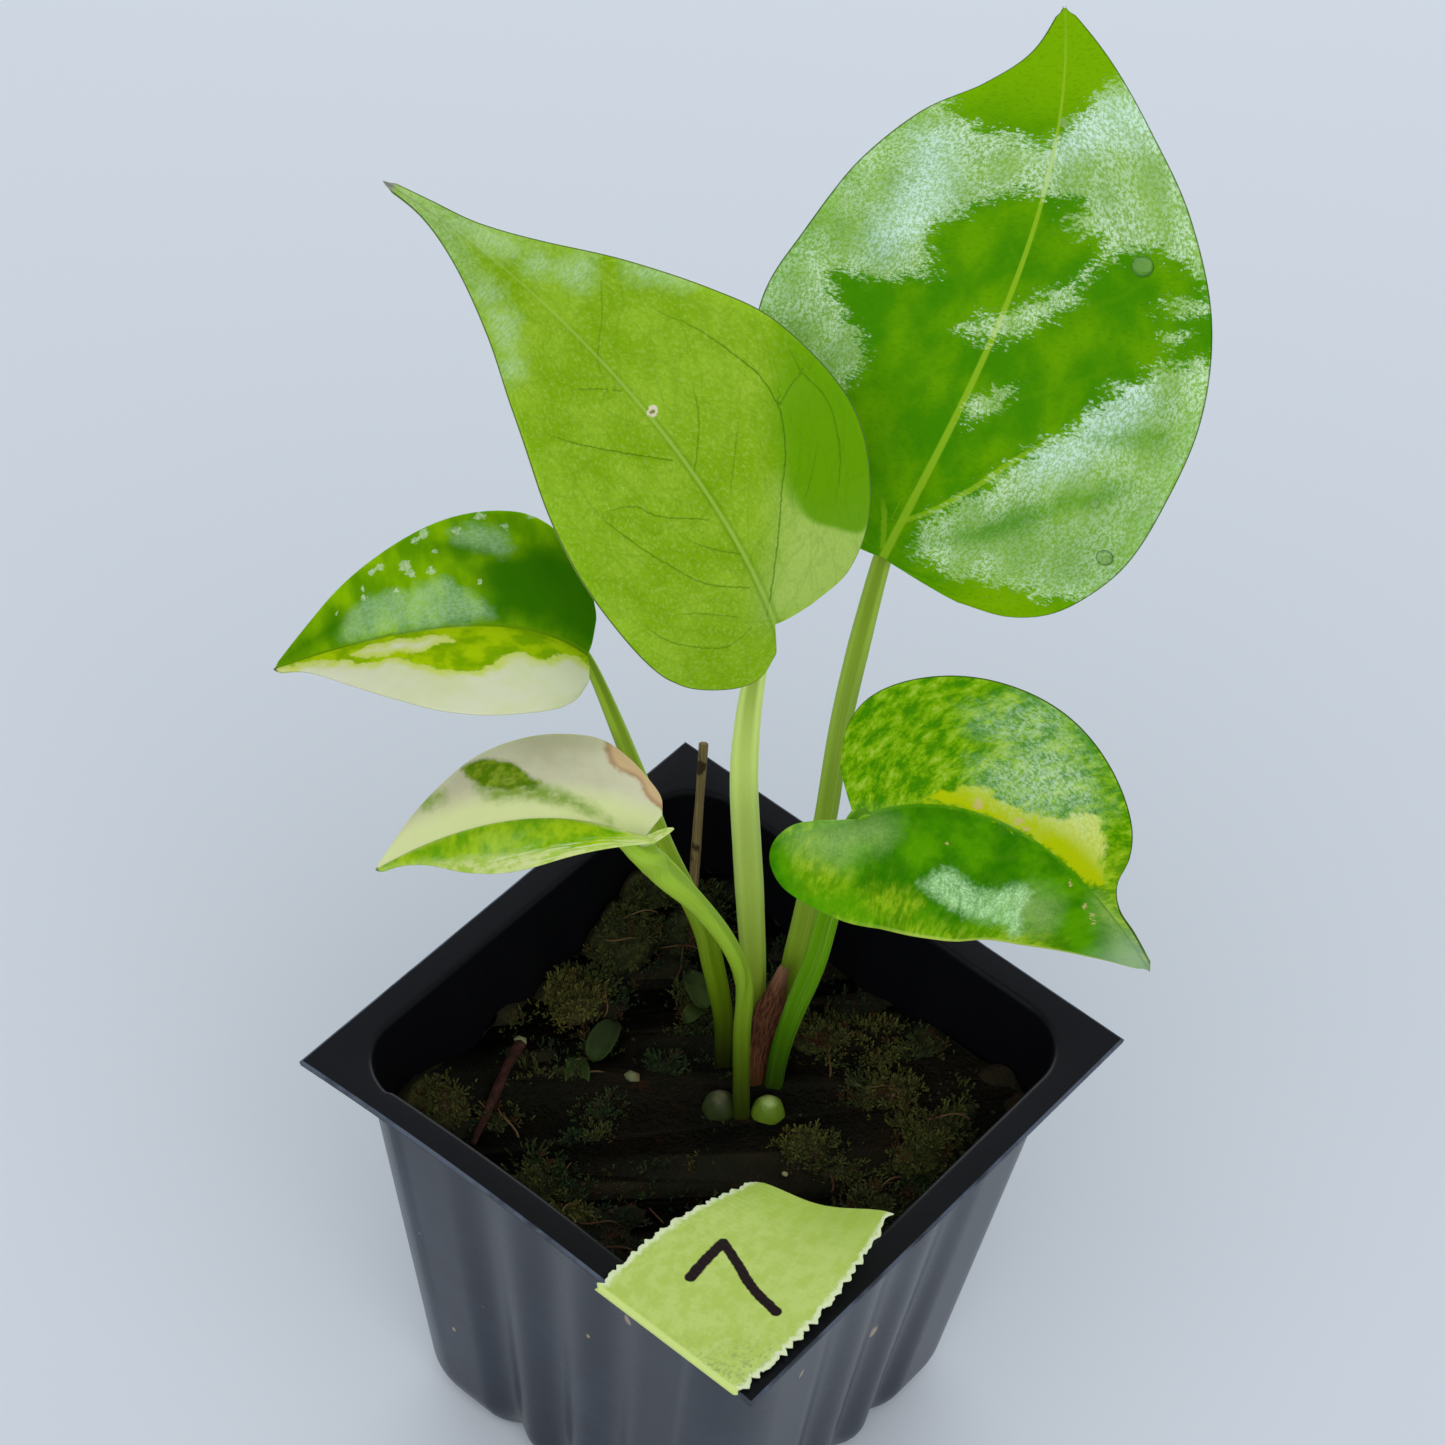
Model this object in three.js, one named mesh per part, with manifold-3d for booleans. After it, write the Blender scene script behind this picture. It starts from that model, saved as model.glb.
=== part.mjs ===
// A young potted wave of love anthurium, variegated, in a small square nursery pot.
// Millimetres, +Z up. The origin is the middle of the pot's base, on the surface it stands on.
// X and Y run along the pot's sides, and the paper label lies over the corner at +X, -Y.
import * as THREE from 'three'
import { mergeVertices } from 'three/addons/utils/BufferGeometryUtils.js'
import Module from 'manifold-3d'

// Driving sizes of the pot, from the 1 inch width of its paper label
const rimSide = 65
const potHeight = 61.5
const flangeThick = 0.8
const wall = 0.8
const floorThick = 1.2
const bodyTopHalf = 29.6
const bodyLowHalf = 23.5
const bodyCorner = 7.5
const footHeight = 5.5
const footInset = 3.4
const rimBow = 1.1
const drainRadius = 2.6
const drainOffset = 12

// The flutes of a pot wall: depth at the rim and at the foot, and pitch as a share of half a side
const fluteTop = 0.5
const fluteLow = 1.5
const fluteSpan = 0.375

// Each side of the pot is drawn in equal steps, flat up to this share of its half, then round
const potSides = [0, 1, 2, 3]
const sideSteps = 16
const flatShare = 0.8

// Driving sizes of what the pot holds
const clearance = 0.3
const soilLevel = 47
const soilRise = 2.2
const soilWaves = [
  { height: 0.7, alongX: 0.62, alongY: 0, shift: 0.9 },
  { height: 0.5, alongX: 0, alongY: 0.55, shift: -0.4 },
  { height: 0.4, alongX: 1.1, alongY: -0.8, shift: 0 },
]
const crownTop = 48.5
const crownCentre = [0.7, 6]
const crownDepth = 6.2
const crownAcross = 4.9
const stockProfile = [[2, 25.5], [2.8, 33.5], [5.7, 44.5]]

// Driving sizes of the leaves, and the azimuth that the whole plant looks toward
const outlook = 36.5
const bladeThick = 0.6
const midribDepth = 0.7
const midribWidth = 1.1
const droop = 0.004
const ripplePitch = 0.42
const rippleShift = 2.1
const rippleReach = 14
const bladeRows = 19
const columnShares = [0, 0.1, 0.3, 0.55, 0.8, 1]
const lobeShare = 0.16
const lobeAnchor = 0.04
const tipAnchor = 0.995
const petioleDrop = 0.7
const petioleSteps = 20
const petioleSides = 8

// Facing is where a leaf's upper side looks at its base and at its tip: elevation, azimuth.
// A margin runs from the lobe beside the petiole to the tip: distance from midrib, distance along.
const leaves = [
  {
    name: 'blade_1', colour: 0x4c9a12, wave: 0.35,
    midrib: [[-2, 23.4, 120.7], [-0.7, 32.6, 137.6], [-0.3, 47.6, 154.6], [-12, 58.3, 166.7]],
    facing: [[50, outlook], [50, outlook]], foldLeft: [6, 6], foldRight: [6, 6], lobeLift: [0, 0],
    left: [[8, -0.2], [13.5, 2], [18, 7.5], [21.2, 13], [23, 20.5], [22, 28], [19, 39],
      [14, 47], [8, 51.5], [3.5, 55.3], [0.4, 60]],
    right: [[9, -0.2], [14.5, 1.2], [19, 4.5], [22, 10.5], [23, 18], [22.7, 26], [20, 34.5],
      [15, 42], [9.5, 48.5], [4.7, 54.6], [0.4, 60]],
  },
  {
    name: 'blade_2', colour: 0x8fbf3a, wave: 0.25,
    midrib: [[-3.3, 7.5, 121.8], [-11, 5.5, 140.8], [-31.2, 2.3, 154.2], [-51.9, 1.4, 154.7]],
    facing: [[58, outlook], [54, outlook + 5]], foldLeft: [10, 10], foldRight: [10, 10],
    lobeLift: [0, 0],
    left: [[1, -3.2], [3.6, -4.8], [7, -4.1], [11.3, -1], [13.8, 4], [15.3, 11], [15.7, 19],
      [14, 27], [10.2, 36], [6.5, 43], [3, 50.5], [1, 56.5], [0.4, 62]],
    right: [[5, 1.2], [9, 2.8], [13.2, 6.9], [16.3, 13.5], [16.9, 19], [15.5, 26], [12.8, 31.5],
      [8.8, 38.5], [4.6, 45.5], [2, 51.5], [1, 57], [0.4, 62]],
  },
  {
    name: 'blade_3', colour: 0x4f8d1e, wave: 0.2,
    midrib: [[-19, -2.9, 113.7], [-24.5, -8.8, 123.2], [-36.1, -19, 116], [-42.9, -24.3, 110.4]],
    facing: [[76, outlook], [76, outlook]], foldLeft: [15, 15], foldRight: [15, 15],
    lobeLift: [0, 0],
    left: [[4, 0.2], [7.5, 2.4], [10.6, 6.1], [12.1, 11], [11.5, 16], [9, 20.8], [5.5, 26],
      [2, 31], [0.4, 35]],
    right: [[4.5, 1.2], [7.6, 3.2], [10.2, 5.2], [12, 8], [12.2, 11], [11.3, 15.7], [9.4, 20.6],
      [6.5, 26], [3.3, 30.7], [0.4, 35]],
  },
  {
    name: 'blade_4', colour: 0xa9b97a, wave: 0.2,
    midrib: [[-6, -8.2, 99.8], [-15.2, -13.2, 103.4], [-22.9, -19.1, 97.2], [-28.2, -24.6, 90.7]],
    facing: [[80, outlook], [80, outlook]], foldLeft: [60, 16], foldRight: [20, 20],
    lobeLift: [60, 20],
    left: [[1.2, -1.6], [3, -3], [5, -2.7], [7.3, -0.6], [8.8, 2.8], [9.6, 6.5], [9.8, 10],
      [8.8, 14], [6.4, 18.8], [3.2, 23.5], [1.2, 27.5], [0.4, 30.5]],
    right: [[2.8, -1], [4.6, -0.2], [6, 1.5], [7.5, 3.6], [8.8, 6], [9, 8.8], [8.6, 12.5],
      [7.4, 17], [5.3, 21.3], [3.2, 25.2], [1.3, 28.5], [0.4, 30.5]],
  },
  {
    name: 'blade_5', colour: 0x5f9a22, wave: 0.3,
    midrib: [[9.6, 7.1, 102.4], [20.8, 14.9, 113.4], [31.7, 21.4, 96.5], [37.8, 24.2, 86]],
    facing: [[60, outlook], [35, outlook - 30]], foldLeft: [10, 10], foldRight: [10, 10],
    lobeLift: [0, 30],
    left: [[6, 0.5], [9.6, 2.2], [12, 4.6], [13.4, 8.5], [13.7, 12.5], [12.9, 17], [10.7, 22],
      [8, 26.3], [5.5, 28.7], [2.6, 30.4], [1.1, 33.3], [0.9, 37], [0.5, 42]],
    right: [[-0.5, -2.6], [-1.1, -4.8], [-1.2, -6.6], [-0.5, -8.3], [0.8, -9.3], [2.8, -9.5],
      [5.4, -8.5], [8.5, -5.5], [11.1, -1.9], [13.4, 4], [14.2, 9.5], [13.7, 14.5],
      [11.5, 20.5], [8.9, 27.5], [5.5, 35], [2.3, 40], [0.5, 42]],
  },
]

// Each petiole climbs from its foot on the crown, the first point, to the base of its blade.
// Its radii are spaced evenly along it.
const petioles = [
  { name: 'petiole_1', colour: 0x9dbb55, radii: [1.15, 1.25, 1.35, 1.25, 1.25, 1.2, 1.2, 1],
    foot: [0.7, 10.7],
    route: [[0.9, 11, 58.5], [0.9, 11.9, 67.6], [0.3, 13.7, 73.1], [-0.8, 17, 85.5],
      [-1.5, 19, 101.5]] },
  { name: 'petiole_2', colour: 0xb3cf74, radii: [1.15, 1.2, 1.45, 1.6, 1.55, 1.5, 1.4, 1.1],
    foot: [-1.1, 8.4],
    route: [[-2, 8.9, 61.5], [-3.8, 9.1, 74.5], [-5.1, 9.1, 83.8], [-5.6, 8.1, 94.3],
      [-5.7, 7.7, 102.3], [-5.2, 7.6, 111.4]] },
  { name: 'petiole_3', colour: 0x86a83c, radii: [1.1, 1.1, 1.25, 1.15, 1.1, 1.05, 0.95, 0.8],
    foot: [-3.7, 7],
    route: [[-4.4, 6.9, 56.5], [-6.2, 6, 66.7], [-7.5, 5, 73.4], [-14, 0.2, 96.5]] },
  { name: 'petiole_4', colour: 0x8db84a, radii: [1.05, 0.95, 1, 1, 1, 1.1, 1.5, 1.7],
    foot: [3.35, 1.85],
    route: [[0.9, 3.4, 60.8], [-0.1, 4.2, 69.1], [-1.4, 2.5, 76.5], [-3.3, -0.3, 83.4],
      [-4.6, -3.5, 89.3], [-5.9, -5.7, 93.4]] },
  { name: 'petiole_5', colour: 0x6fae24, radii: [1.1, 1.1, 1.15, 1.3, 1.3, 1.2, 1.1, 0.9],
    foot: [2.5, 8],
    route: [[3.4, 7.5, 57], [4.6, 7.6, 65.5], [5.9, 8.3, 74], [6.7, 8.7, 82.9]] },
]

// Roots under the soil run from the rootstock, tapering from the radius at their start.
const roots = [
  { route: [[1, 6, 37.5], [-6, 0, 29.5], [-11, -8, 25.5]], radius: 1.1 },
  { route: [[1, 6, 35.5], [8, 1, 27.5], [12, -8, 21.5]], radius: 1.1 },
  { route: [[1, 6, 36.5], [7, 13, 28.5], [13, 16, 20.5]], radius: 1 },
  { route: [[1, 6, 34.5], [-8, 12, 25.5], [-13, 15, 17.5]], radius: 1 },
]
const rootTips = [
  { name: 'root_tip_1', colour: 0x86a33a, at: [4.4, 5.1, 49.3], radius: 1.95 },
  { name: 'root_tip_2', colour: 0x5f6f2a, at: [0, 1.7, 48.6], radius: 1.8 },
]
const tipStretch = 1.15
const straw = { route: [[-20, 20.3, 43.5], [-22, 22.5, 55.5], [-25.2, 26.4, 71.5]], radius: 0.6 }
const sheath = { route: [[1.2, 6.1, 48.9], [0.6, 7.4, 55.5], [1.2, 8.1, 63.5], [1.8, 8.8, 70]],
  halfWidths: [0.8, 1.2, 1.7, 0.4], thick: 0.6, cup: 0.25, rows: 8 }

// The paper label: its corners, from the edge folded over the rim to the free edge, which dips.
const label = { nearLeft: [11.4, -32.9, 62.1], nearRight: [30.9, -32.9, 62.1],
  farLeft: [13.2, -8.6, 58], farRight: [30.4, -7.5, 67.5],
  thick: 0.4, lip: 1.3, dip: 1.6, bulge: 0.9, curl: 2.2, steps: 8 }

const wasm = await Module()
wasm.setup()

const up = new THREE.Vector3(0, 0, 1)
const vec = (a) => new THREE.Vector3(...a)
const radians = (degrees) => THREE.MathUtils.degToRad(degrees)

function geometryFrom(positions, index) {
  const geometry = new THREE.BufferGeometry()
  geometry.setAttribute('position', new THREE.Float32BufferAttribute(positions, 3))
  geometry.setIndex(index)
  return geometry
}

// A geometry from rings of points, each ring closed, with a single point at either end.
function ringsToGeometry(rings, startPoint, endPoint) {
  const count = rings[0].length
  const points = [...rings.flat(), startPoint, endPoint]
  const start = points.length - 2
  const end = points.length - 1
  const last = (rings.length - 1) * count
  const index = []
  for (let i = 0; i < count; i++) {
    const next = (i + 1) % count
    for (let ring = 0; ring < last; ring += count) {
      const a = ring + i
      const b = ring + next
      index.push(a, b, b + count, a, b + count, a + count)
    }
    index.push(start, next, i, end, last + i, last + next)
  }
  return geometryFrom(points.flatMap((p) => [p.x, p.y, p.z]), index)
}

// A closed plate between two sheets of points laid out in the same rows and columns.
function plateGeometry(upper, lower) {
  const rows = upper.length
  const columns = upper[0].length
  const positions = [...upper.flat(), ...lower.flat()].flatMap((p) => [p.x, p.y, p.z])
  const index = []
  const under = rows * columns
  const quad = (a, b, c, d) => index.push(a, b, c, a, c, d)
  for (let r = 0; r + 1 < rows; r++) {
    for (let c = 0; c + 1 < columns; c++) {
      const a = r * columns + c
      const d = a + columns
      quad(a, a + 1, d + 1, d)
      index.push(under + a, under + d + 1, under + a + 1, under + a, under + d, under + d + 1)
    }
    const left = r * columns
    const right = left + columns - 1
    quad(left, left + columns, under + left + columns, under + left)
    quad(right, under + right, under + right + columns, right + columns)
  }
  for (let c = 0; c + 1 < columns; c++) {
    const end = (rows - 1) * columns + c
    quad(c, under + c, under + c + 1, c + 1)
    quad(end, end + 1, under + end + 1, under + end)
  }
  return geometryFrom(positions, index)
}

function solidFrom(geometry) {
  const bare = geometry.clone()
  bare.deleteAttribute('normal')
  bare.deleteAttribute('uv')
  const merged = mergeVertices(bare)
  return new wasm.Manifold(new wasm.Mesh({
    numProp: 3,
    vertProperties: new Float32Array(merged.attributes.position.array),
    triVerts: new Uint32Array(merged.index.array),
  }))
}

function geometryOf(solid) {
  const mesh = solid.getMesh()
  return geometryFrom(Array.from(mesh.vertProperties), Array.from(mesh.triVerts))
}

function largestOf(solid) {
  return solid.decompose().reduce((best, part) => (part.volume() > best.volume() ? part : best))
}

function smoothCurve(points) {
  return new THREE.CatmullRomCurve3(points, false, 'catmullrom', 0.5)
}

// A value between two or more given at even steps.
function taper(values, share) {
  const place = share * (values.length - 1)
  const low = Math.min(Math.floor(place), values.length - 2)
  return THREE.MathUtils.lerp(values[low], values[low + 1], place - low)
}

// A tapering round tube along a smooth route, with flat ends.
function tubeGeometry(points, radii, steps, sides) {
  const curve = smoothCurve(points)
  const frames = curve.computeFrenetFrames(steps, false)
  const rings = []
  for (let s = 0; s <= steps; s++) {
    const centre = curve.getPointAt(s / steps)
    const radius = taper(radii, s / steps)
    const ring = []
    for (let i = 0; i < sides; i++) {
      const angle = 2 * Math.PI * i / sides
      ring.push(centre.clone()
        .addScaledVector(frames.normals[s], Math.cos(angle) * radius)
        .addScaledVector(frames.binormals[s], Math.sin(angle) * radius))
    }
    rings.push(ring)
  }
  return ringsToGeometry(rings, curve.getPointAt(0), curve.getPointAt(1))
}

// One turn round the pot: place gives the point at a share from -1 to 1 along one side.
function aroundPot(place) {
  const ring = []
  for (const side of potSides) {
    for (let i = 0; i < sideSteps; i++) {
      const share = -1 + 2 * i / sideSteps
      const bow = side === potSides.length - 1 ? rimBow * (1 - share * share) : 0
      ring.push(place(share, bow).applyAxisAngle(up, (side + 1) * Math.PI / 2))
    }
  }
  return ring
}

function flangePoint(z) {
  const half = rimSide / 2
  return (share, bow) => new THREE.Vector3(half * share, -half + bow, z)
}

function bodyHalfAt(z) {
  const straight = THREE.MathUtils.lerp(bodyLowHalf, bodyTopHalf, z / potHeight)
  const bend = Math.max(0, 1 - z / footHeight)
  return straight - footInset * (1 - Math.sqrt(1 - bend * bend))
}

// The fluted wall at a height, moved inwards by an inset.
function bodyPoint(z, inset) {
  const half = bodyHalfAt(z) - inset
  const corner = bodyCorner - inset
  const depth = THREE.MathUtils.lerp(fluteLow, fluteTop, z / potHeight)
  return (share, bow) => {
    const size = Math.abs(share)
    if (size > flatShare) {
      const turn = (size - flatShare) / (1 - flatShare) * Math.PI / 4
      const x = half - corner + corner * Math.sin(turn)
      return new THREE.Vector3(Math.sign(share) * x, -(half - corner + corner * Math.cos(turn)), z)
    }
    const inFlutes = size <= 1.5 * fluteSpan
    const flute = inFlutes ? depth * 0.5 * (1 + Math.cos(2 * Math.PI * size / fluteSpan)) : 0
    const x = share / flatShare * (half - corner)
    return new THREE.Vector3(x, -half + flute + bow * z / potHeight, z)
  }
}

// The thin formed pot: floor, inner wall, flange and outer wall in one skin, less its drain holes.
function makePot() {
  const underFlange = potHeight - flangeThick
  const inner = [floorThick, 2.4, 4.4, 10, 28, 46, potHeight]
  const outer = [underFlange, 45, 28, 10, 4.4, 1.8, 0.5, 0]
  const rings = [
    ...inner.map((z) => aroundPot(bodyPoint(z, wall))),
    aroundPot(flangePoint(potHeight)),
    aroundPot(flangePoint(underFlange)),
    ...outer.map((z) => aroundPot(bodyPoint(z, 0))),
  ]
  const skin = rings.map((ring) => ring.reverse())
  const floorTop = new THREE.Vector3(0, 0, floorThick)
  const shell = solidFrom(ringsToGeometry(skin, floorTop, new THREE.Vector3(0, 0, 0)))
  const holes = [[1, 1], [1, -1], [-1, 1], [-1, -1]].map(([x, y]) => {
    const hole = new THREE.CylinderGeometry(drainRadius, drainRadius, 4 * floorThick, 16)
    hole.rotateX(Math.PI / 2).translate(x * drainOffset, y * drainOffset, 0)
    return solidFrom(hole)
  })
  return holes.reduce((pot, hole) => pot.subtract(hole), shell)
}

// The height of the mossy soil at a place: gentle lumps that rise into the pot's corners.
function soilHeight(x, y) {
  const lumps = soilWaves.reduce((sum, wave) => (
    sum + wave.height * Math.sin(wave.alongX * x + wave.alongY * y + wave.shift)), 0)
  const corner = Math.pow(Math.abs(x * y) / (bodyLowHalf * bodyLowHalf), 1.5)
  return soilLevel + lumps + soilRise * corner
}

function makeSoil(cutters) {
  const gap = wall + clearance
  const floor = floorThick + clearance
  const heights = [floor, 2.7, 4.7, 10, 28, 44]
  const walls = heights.map((z) => aroundPot(bodyPoint(z, gap)))
  const edge = aroundPot(bodyPoint(soilLevel - 1, gap))
  const shares = [1, 0.9, 0.78, 0.64, 0.5, 0.36, 0.22, 0.1]
  const top = shares.map((share) => edge.map((p) => {
    const x = p.x * share
    const y = p.y * share
    return new THREE.Vector3(x, y, soilHeight(x, y))
  }))
  const middle = new THREE.Vector3(0, 0, soilHeight(0, 0))
  const under = new THREE.Vector3(0, 0, floor)
  const block = solidFrom(ringsToGeometry([...walls, ...top], under, middle))
  return cutters.reduce((soil, cutter) => soil.subtract(cutter), block)
}

// The short rootstock that carries the petioles, with its roots, grown all over for a cutter.
function makeRootstock(grow) {
  const top = crownTop + grow
  const foot = stockProfile[0][1] - grow
  const sides = stockProfile.map(([r, z], i) => [r + grow, i === 0 ? foot : z])
  const profile = [[0, foot], ...sides, [crownDepth + grow, top], [0, top]]
  const stock = new THREE.LatheGeometry(profile.map(([r, z]) => new THREE.Vector2(r, z)), 20)
  stock.rotateX(Math.PI / 2).scale((crownAcross + grow) / (crownDepth + grow), 1, 1)
  stock.rotateZ(radians(outlook)).translate(crownCentre[0], crownCentre[1], 0)
  return roots.reduce((whole, root) => {
    const radii = [1, 0.8, 0.5].map((share) => share * root.radius + grow)
    return whole.add(solidFrom(tubeGeometry(root.route.map(vec), radii, 8, 6)))
  }, solidFrom(stock))
}

function facingVector([elevation, azimuth]) {
  const flat = Math.cos(radians(elevation))
  const turn = radians(azimuth)
  const rise = Math.sin(radians(elevation))
  return new THREE.Vector3(Math.sin(turn) * flat, -Math.cos(turn) * flat, rise)
}

// Where a place on the flat leaf lies once the leaf is bent: which half it is in (-1 left, 1 right),
// how far out from the midrib, and how far along it.
function bladePlace(leaf) {
  const midrib = new THREE.CubicBezierCurve3(...leaf.midrib.map(vec))
  const length = midrib.getLength()
  const facingBase = facingVector(leaf.facing[0])
  const facingTip = facingVector(leaf.facing[1])
  return (half, out, along) => {
    const share = THREE.MathUtils.clamp(along / length, 0, 1)
    const centre = midrib.getPointAt(share)
    const tangent = midrib.getTangentAt(share)
    const facing = facingBase.clone().lerp(facingTip, share * share)
    const side = tangent.clone().cross(facing).normalize()
    const normal = side.clone().cross(tangent)
    const [foldBase, foldTip] = half > 0 ? leaf.foldRight : leaf.foldLeft
    const fold = radians(foldTip + (foldBase - foldTip) * Math.pow(1 - share, 3))
    const lean = fold - droop * out
    const flat = (Math.sin(fold) - Math.sin(lean)) / droop
    const rise = (Math.cos(lean) - Math.cos(fold)) / droop
    const phase = ripplePitch * along + (half > 0 ? rippleShift : 0)
    const ripple = leaf.wave * Math.sin(phase) * Math.pow(out / rippleReach, 2)
    const back = Math.min(along, 0)
    const lift = radians(leaf.lobeLift[half > 0 ? 1 : 0])
    return centre
      .addScaledVector(side, half * flat)
      .addScaledVector(normal, rise + ripple - back * Math.sin(lift))
      .addScaledVector(tangent, back * Math.cos(lift))
  }
}

// A place on the bent leaf, moved off its middle sheet by an offset toward the upper side.
function bladePoint(place, [half, out, along], offset) {
  const step = 0.05
  const outward = place(half, out + step, along).sub(place(half, out - step, along))
  const onward = place(half, out, along + step).sub(place(half, out, along - step))
  const normal = outward.multiplyScalar(half).cross(onward).normalize()
  return place(half, out, along).addScaledVector(normal, offset)
}

// Evenly spaced places along a margin drawn through its given points.
function marginPlaces(points) {
  return smoothCurve(points.map(([out, along]) => new THREE.Vector3(out, along, 0)))
    .getSpacedPoints(bladeRows)
}

// Each row of a blade runs from the margin in to the midrib, and across to the other margin.
function makeBlade(leaf, grow) {
  const place = bladePlace(leaf)
  const length = new THREE.CubicBezierCurve3(...leaf.midrib.map(vec)).getLength()
  const margins = [[-1, marginPlaces(leaf.left)], [1, marginPlaces(leaf.right)]]
  const upper = []
  const lower = []
  for (let row = 0; row <= bladeRows; row++) {
    const share = row / bladeRows
    const beyond = Math.max(0, (share - lobeShare) / (1 - lobeShare))
    const anchor = length * THREE.MathUtils.lerp(lobeAnchor * share, tipAnchor, beyond)
    const [left, right] = margins.map(([half, margin]) => columnShares.map((size) => (
      [half, margin[row].x * size, anchor * (1 - size) + margin[row].y * size])))
    const line = [...left.slice(1).reverse(), ...right]
    upper.push(line.map((at) => bladePoint(place, at, bladeThick / 2 + grow)))
    lower.push(line.map((at) => {
      const rib = midribDepth * Math.exp(-Math.pow(at[1] / midribWidth, 2)) * (1 - 0.9 * share)
      return bladePoint(place, at, -bladeThick / 2 - rib - grow)
    }))
  }
  return solidFrom(plateGeometry(upper, lower))
}

// A petiole stands on the crown and ends just under its blade, at the notch.
function makePetiole(petiole, leaf) {
  const start = new THREE.Vector3(...petiole.foot, crownTop + clearance)
  const end = vec(leaf.midrib[0]).addScaledVector(facingVector(leaf.facing[0]), -petioleDrop)
  const points = [start, ...petiole.route.map(vec), end]
  const tube = solidFrom(tubeGeometry(points, petiole.radii, petioleSteps, petioleSides))
  return largestOf(tube.subtract(makeBlade(leaf, clearance)))
}

// The dry sheath that once wrapped the young leaves: a thin upright scale between the petioles.
function makeSheath() {
  const curve = smoothCurve(sheath.route.map(vec))
  const across = facingVector([0, outlook + 90])
  const toFront = facingVector([0, outlook])
  const front = []
  const rear = []
  for (let row = 0; row <= sheath.rows; row++) {
    const centre = curve.getPointAt(row / sheath.rows)
    const half = taper(sheath.halfWidths, row / sheath.rows)
    const line = [-1, -0.5, 0, 0.5, 1].map((s) => centre.clone()
      .addScaledVector(across, s * half).addScaledVector(toFront, sheath.cup * (1 - s * s)))
    front.push(line.map((p) => p.clone().addScaledVector(toFront, sheath.thick / 2)))
    rear.push(line.map((p) => p.clone().addScaledVector(toFront, -sheath.thick / 2)))
  }
  return solidFrom(plateGeometry(front, rear))
}

// A place on the label: s runs across it from left to right, t from the rim to the free edge.
function labelPoint(s, t) {
  const near = vec(label.nearLeft).lerp(vec(label.nearRight), s)
  const far = vec(label.farLeft).lerp(vec(label.farRight), s)
  const p = near.clone().lerp(far, t)
  p.x += label.bulge * (2 * s - 1) * Math.sin(Math.PI * t)
  p.z = THREE.MathUtils.lerp(near.z, far.z, Math.pow(t, label.curl))
  p.z -= label.dip * Math.pow(Math.sin(Math.PI * s) * t, 2)
  return p
}

// The label's first row hangs down over the rim, and its second is the fold.
function makeLabel() {
  const upper = []
  const lower = []
  const faces = [new THREE.Vector3(0, -1, 0), new THREE.Vector3(0, -1, 1), up]
  for (let row = -1; row <= label.steps; row++) {
    const outward = faces[Math.min(row + 1, 2)]
    const line = []
    for (let column = 0; column <= label.steps; column++) {
      const p = labelPoint(column / label.steps, Math.max(0, row) / label.steps)
      line.push(row < 0 ? p.addScaledVector(up, -label.lip) : p)
    }
    upper.push(line.map((p) => p.clone().addScaledVector(outward, label.thick / 2)))
    lower.push(line.map((p) => p.clone().addScaledVector(outward, -label.thick / 2)))
  }
  return solidFrom(plateGeometry(upper, lower))
}

function makeRootTip(tip, grow) {
  const ball = new THREE.SphereGeometry(tip.radius + grow, 12, 8)
  ball.scale(1, 1, tipStretch).translate(...tip.at)
  return solidFrom(ball)
}

function makeStraw(grow) {
  const radius = straw.radius + grow
  return solidFrom(tubeGeometry(straw.route.map(vec), [radius, radius], 6, 6))
}

const plant = new THREE.Group()

function addPiece(name, solid, colour, roughness) {
  const material = new THREE.MeshStandardMaterial({ color: colour, roughness, metalness: 0 })
  const mesh = new THREE.Mesh(geometryOf(solid), material)
  mesh.name = name
  plant.add(mesh)
}

const stockRoom = makeRootstock(clearance)
const tipRooms = rootTips.map((tip) => makeRootTip(tip, clearance))

addPiece('pot', makePot(), 0x1a1c20, 0.35)
addPiece('soil', makeSoil([stockRoom, makeStraw(clearance), ...tipRooms]), 0x241f16, 1)
addPiece('rootstock', makeRootstock(0), 0x4a3b22, 0.9)
rootTips.forEach((tip) => {
  addPiece(tip.name, largestOf(makeRootTip(tip, 0).subtract(stockRoom)), tip.colour, 0.5)
})
petioles.forEach((petiole, i) => {
  addPiece(petiole.name, makePetiole(petiole, leaves[i]), petiole.colour, 0.45)
})
leaves.forEach((leaf) => addPiece(leaf.name, makeBlade(leaf, 0), leaf.colour, 0.3))
addPiece('sheath', makeSheath(), 0x8a5a3c, 0.7)
addPiece('straw', makeStraw(0), 0xb49a6a, 0.8)
addPiece('label', makeLabel(), 0xb4d26e, 0.85)

export default plant
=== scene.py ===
import math
import random

import bmesh
import bpy
import numpy as np
from mathutils import Matrix, Vector, noise


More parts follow.
